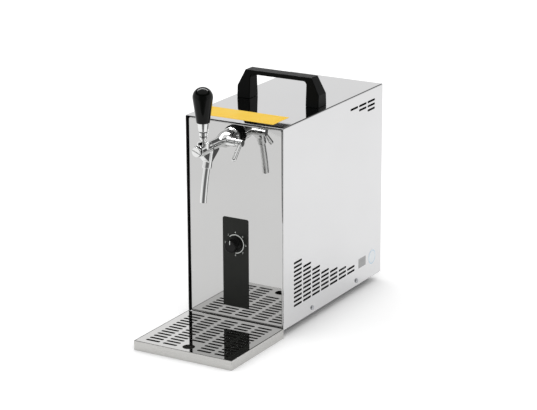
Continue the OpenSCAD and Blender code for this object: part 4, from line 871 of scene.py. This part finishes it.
# Its outline: steps in from skirt or grip, with the height over the rear or the depth below the nearest end
SKIRT_REAR = [(1 * MM, 0), (0, 0.6 * MM)]
SKIRT_END = [(0, 1.2 * MM), (0.5 * MM, 0.2 * MM)]
GRIP_ROOT = 0.4 * MM
GRIP_END = [(0.25 * MM, 1.4 * MM), (0.7 * MM, 0.4 * MM)]
DIAL_RIM = [(1.5 * MM, 0), (2.6 * MM, 0), (3.2 * MM, 0.4 * MM)]
# Pointer: length as a share of the grip's radius, width, rounding, depth in the face and thickness
POINTER_SHARE = 0.62
POINTER_W = 1.1 * MM
POINTER_ROUND = 0.4 * MM
POINTER_SUNK = 0.6 * MM
POINTER_T = 0.75 * MM


def add_dial():
    """Fluted dial knob with a plain skirt, a dished face and a white pointer."""
    low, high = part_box("thermostat_knob")
    skirt = (high.x - low.x) / 2
    grip = skirt - DIAL_STEP_IN
    length = high.y - low.y
    at = Vector((0, high.y, (low.z + high.z) / 2))

    def fluted(radius):
        return lambda turn: radius - FLUTE_DEEP * (1 + math.cos(DIAL_FLUTES * turn)) / 2

    outline = [(0, DIAL_HOLLOW)]
    outline += [(skirt - step, up) for step, up in SKIRT_REAR]
    outline += [(skirt - step, DIAL_SKIRT_L - down) for step, down in SKIRT_END]
    outline += [(grip + GRIP_ROOT, DIAL_SKIRT_L), (fluted(grip), DIAL_SKIRT_L + FLUTE_START)]
    outline += [(fluted(grip - step), length - down) for step, down in GRIP_END]
    outline += [(grip - step, length - down) for step, down in DIAL_RIM]
    outline += [(0, length - DIAL_DISH)]
    mesh = lathe("dial_knob", outline, at, FORWARD, steps=DIAL_FLUTES * RIB_STEPS)
    add_piece("dial_knob", mesh, "dial", FINISHES["black_knob"], "black_knob", ["thermostat_knob"])
    line = round_rectangle(POINTER_W, grip * POINTER_SHARE, POINTER_ROUND, steps=3)
    start = at + (length - POINTER_SUNK) * FORWARD + grip * POINTER_SHARE * UP
    pointer = slab("dial_pointer", [line], start, ACROSS, UP, POINTER_T)
    add_piece("dial_pointer", pointer, "dial", WHITE_INK)


# Rosette: ribs of its rim, where they start and end, steps of its front edge, and play round the shank
ROSETTE_RIBS = 30
RIB_DEEP = 0.5 * MM
RIB_START = 0.5 * MM
RIB_END = 0.9 * MM
ROSETTE_EDGE = [(0.8 * MM, 0.2 * MM), (1.4 * MM, 0)]
SHANK_PLAY = 0.2 * MM


def add_rosette():
    """Black ring on the wall with a ribbed rim."""
    low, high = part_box("tap_rosette")
    radius = (high.x - low.x) / 2
    depth = high.y - low.y
    bore_low, bore_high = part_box("tap_shank")
    bore = (bore_high.x - bore_low.x) / 2 + SHANK_PLAY
    at = Vector((0, high.y, (low.z + high.z) / 2))

    def ribbed(turn):
        return radius - RIB_DEEP * (1 + math.cos(ROSETTE_RIBS * turn)) / 2

    outline = [(bore, 0), (radius - RIB_DEEP, 0), (ribbed, RIB_START), (ribbed, depth - RIB_END)]
    outline += [(radius - step, depth - down) for step, down in ROSETTE_EDGE]
    outline += [(bore, depth), (bore, 0)]
    mesh = lathe("rosette", outline, at, FORWARD, steps=ROSETTE_RIBS * RIB_STEPS)
    add_piece("rosette", mesh, "cabinet", FINISHES["black_plastic"], "black_plastic", ["tap_rosette"])


# Flat trim

# Films: their places from the cabinet's front edge, middle or floor
FILM_T = 0.12 * MM
STRIP_X = (-79 * MM, 62 * MM)
STRIP_IN_Y = (13 * MM, 63 * MM)
STRIP_ROUND = 1.5 * MM
LABEL_Y = (247 * MM, 272 * MM)
LABEL_Z = (40.6 * MM, 56.5 * MM)
LABEL_ROUND = 0.8 * MM
STICKER_AT = (294.6 * MM, 47.6 * MM)
STICKER_R = 13 * MM
STICKER_LINE = 1.2 * MM
STICKER_STEPS = 72


def add_strip():
    """Plain yellow film across the front of the top."""
    width = STRIP_X[1] - STRIP_X[0]
    depth = STRIP_IN_Y[1] - STRIP_IN_Y[0]
    at = Vector((sum(STRIP_X) / 2, FRONT_Y + sum(STRIP_IN_Y) / 2, TOP_Z))
    outline = round_rectangle(width, depth, STRIP_ROUND)
    mesh = slab("yellow_strip", [outline], at, ACROSS, REARWARD, FILM_T)
    add_piece("yellow_strip", mesh, "cabinet", YELLOW_FILM)


def add_side_labels():
    """Blank foil label and a plain round sticker low on the right side."""
    at = Vector((RIGHT_X, FRONT_Y + sum(LABEL_Y) / 2, sum(LABEL_Z) / 2))
    outline = round_rectangle(LABEL_Y[1] - LABEL_Y[0], LABEL_Z[1] - LABEL_Z[0], LABEL_ROUND)
    mesh = slab("blank_label", [outline], at, REARWARD, UP, FILM_T)
    add_piece("blank_label", mesh, "cabinet", LABEL_FOIL)
    at = Vector((RIGHT_X, FRONT_Y + STICKER_AT[0], STICKER_AT[1]))
    disc = arc((0, 0), STICKER_R, 0, 360 - 360 / STICKER_STEPS, STICKER_STEPS - 1)
    mesh = slab("round_sticker", [disc], at, REARWARD, UP, FILM_T)
    add_piece("round_sticker", mesh, "cabinet", STICKER_FILM)
    ring = band(STICKER_R - 2 * STICKER_LINE, STICKER_R - STICKER_LINE, 0, 360, STICKER_STEPS)
    mesh = slab("sticker_ring", ring, at + FILM_T * ACROSS, REARWARD, UP, FILM_T / 4)
    add_piece("sticker_ring", mesh, "cabinet", STICKER_RING)


# Scale of the dial: radii and degrees of its arc, then place, size and degrees of the numbers from 0 up
DIAL_ARC_R = (14.1 * MM, 15.5 * MM)
DIAL_ARC = (135, -90)
DIAL_ARC_STEPS = 60
DIAL_NUMBER_R = 18.6 * MM
DIAL_NUMBER_H = 4.2 * MM
DIAL_LAST = 7
DIAL_ZERO = -90
DIAL_STEP = 45
INK_T = 0.04 * MM


def number_outlines(text, size):
    """Triangles of a plain numeral about its middle."""
    curve = bpy.data.curves.new("numeral", "FONT")
    curve.body = text
    curve.size = size
    curve.align_x = "CENTER"
    curve.align_y = "CENTER"
    holder = bpy.data.objects.new("numeral", curve)
    mesh = bpy.data.meshes.new_from_object(holder)
    outlines = [[tuple(mesh.vertices[i].co.xy) for i in p.vertices] for p in mesh.polygons]
    bpy.data.objects.remove(holder)
    bpy.data.curves.remove(curve)
    bpy.data.meshes.remove(mesh)
    return outlines


def add_dial_print():
    """White scale on the black plate: an arc and the numbers 0 to 7."""
    plate_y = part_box("control_plate")[0].y
    low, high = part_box("thermostat_knob")
    at = Vector((0, plate_y, (low.z + high.z) / 2))
    outlines = band(*DIAL_ARC_R, *DIAL_ARC, DIAL_ARC_STEPS)
    for number in range(DIAL_LAST + 1):
        turn = math.radians(DIAL_ZERO - DIAL_STEP * number)
        shift = (DIAL_NUMBER_R * math.cos(turn), DIAL_NUMBER_R * math.sin(turn))
        for outline in number_outlines(str(number), DIAL_NUMBER_H):
            outlines.append([(x + shift[0], y + shift[1]) for x, y in outline])
    mesh = slab("dial_print", outlines, at, ACROSS, UP, INK_T)
    add_piece("dial_print", mesh, "cabinet", WHITE_INK)


# Scene

bpy.context.scene.view_settings.view_transform = "Standard"
add_camera()
add_world()
add_floor()
add_lamp("softbox", **SOFTBOX_LAMP)
strip_lamp = add_lamp("strip", **STRIP_LAMP, shine_only=True)
for node, edge in EDGES.items():
    dress(node, edge)
cast_tap_body()
add_knob()
add_gaskets()
add_dial()
add_rosette()
add_strip()
add_side_labels()
add_dial_print()
dress_inside()
light_only(strip_lamp, STRIP_LAMP_PIECES)
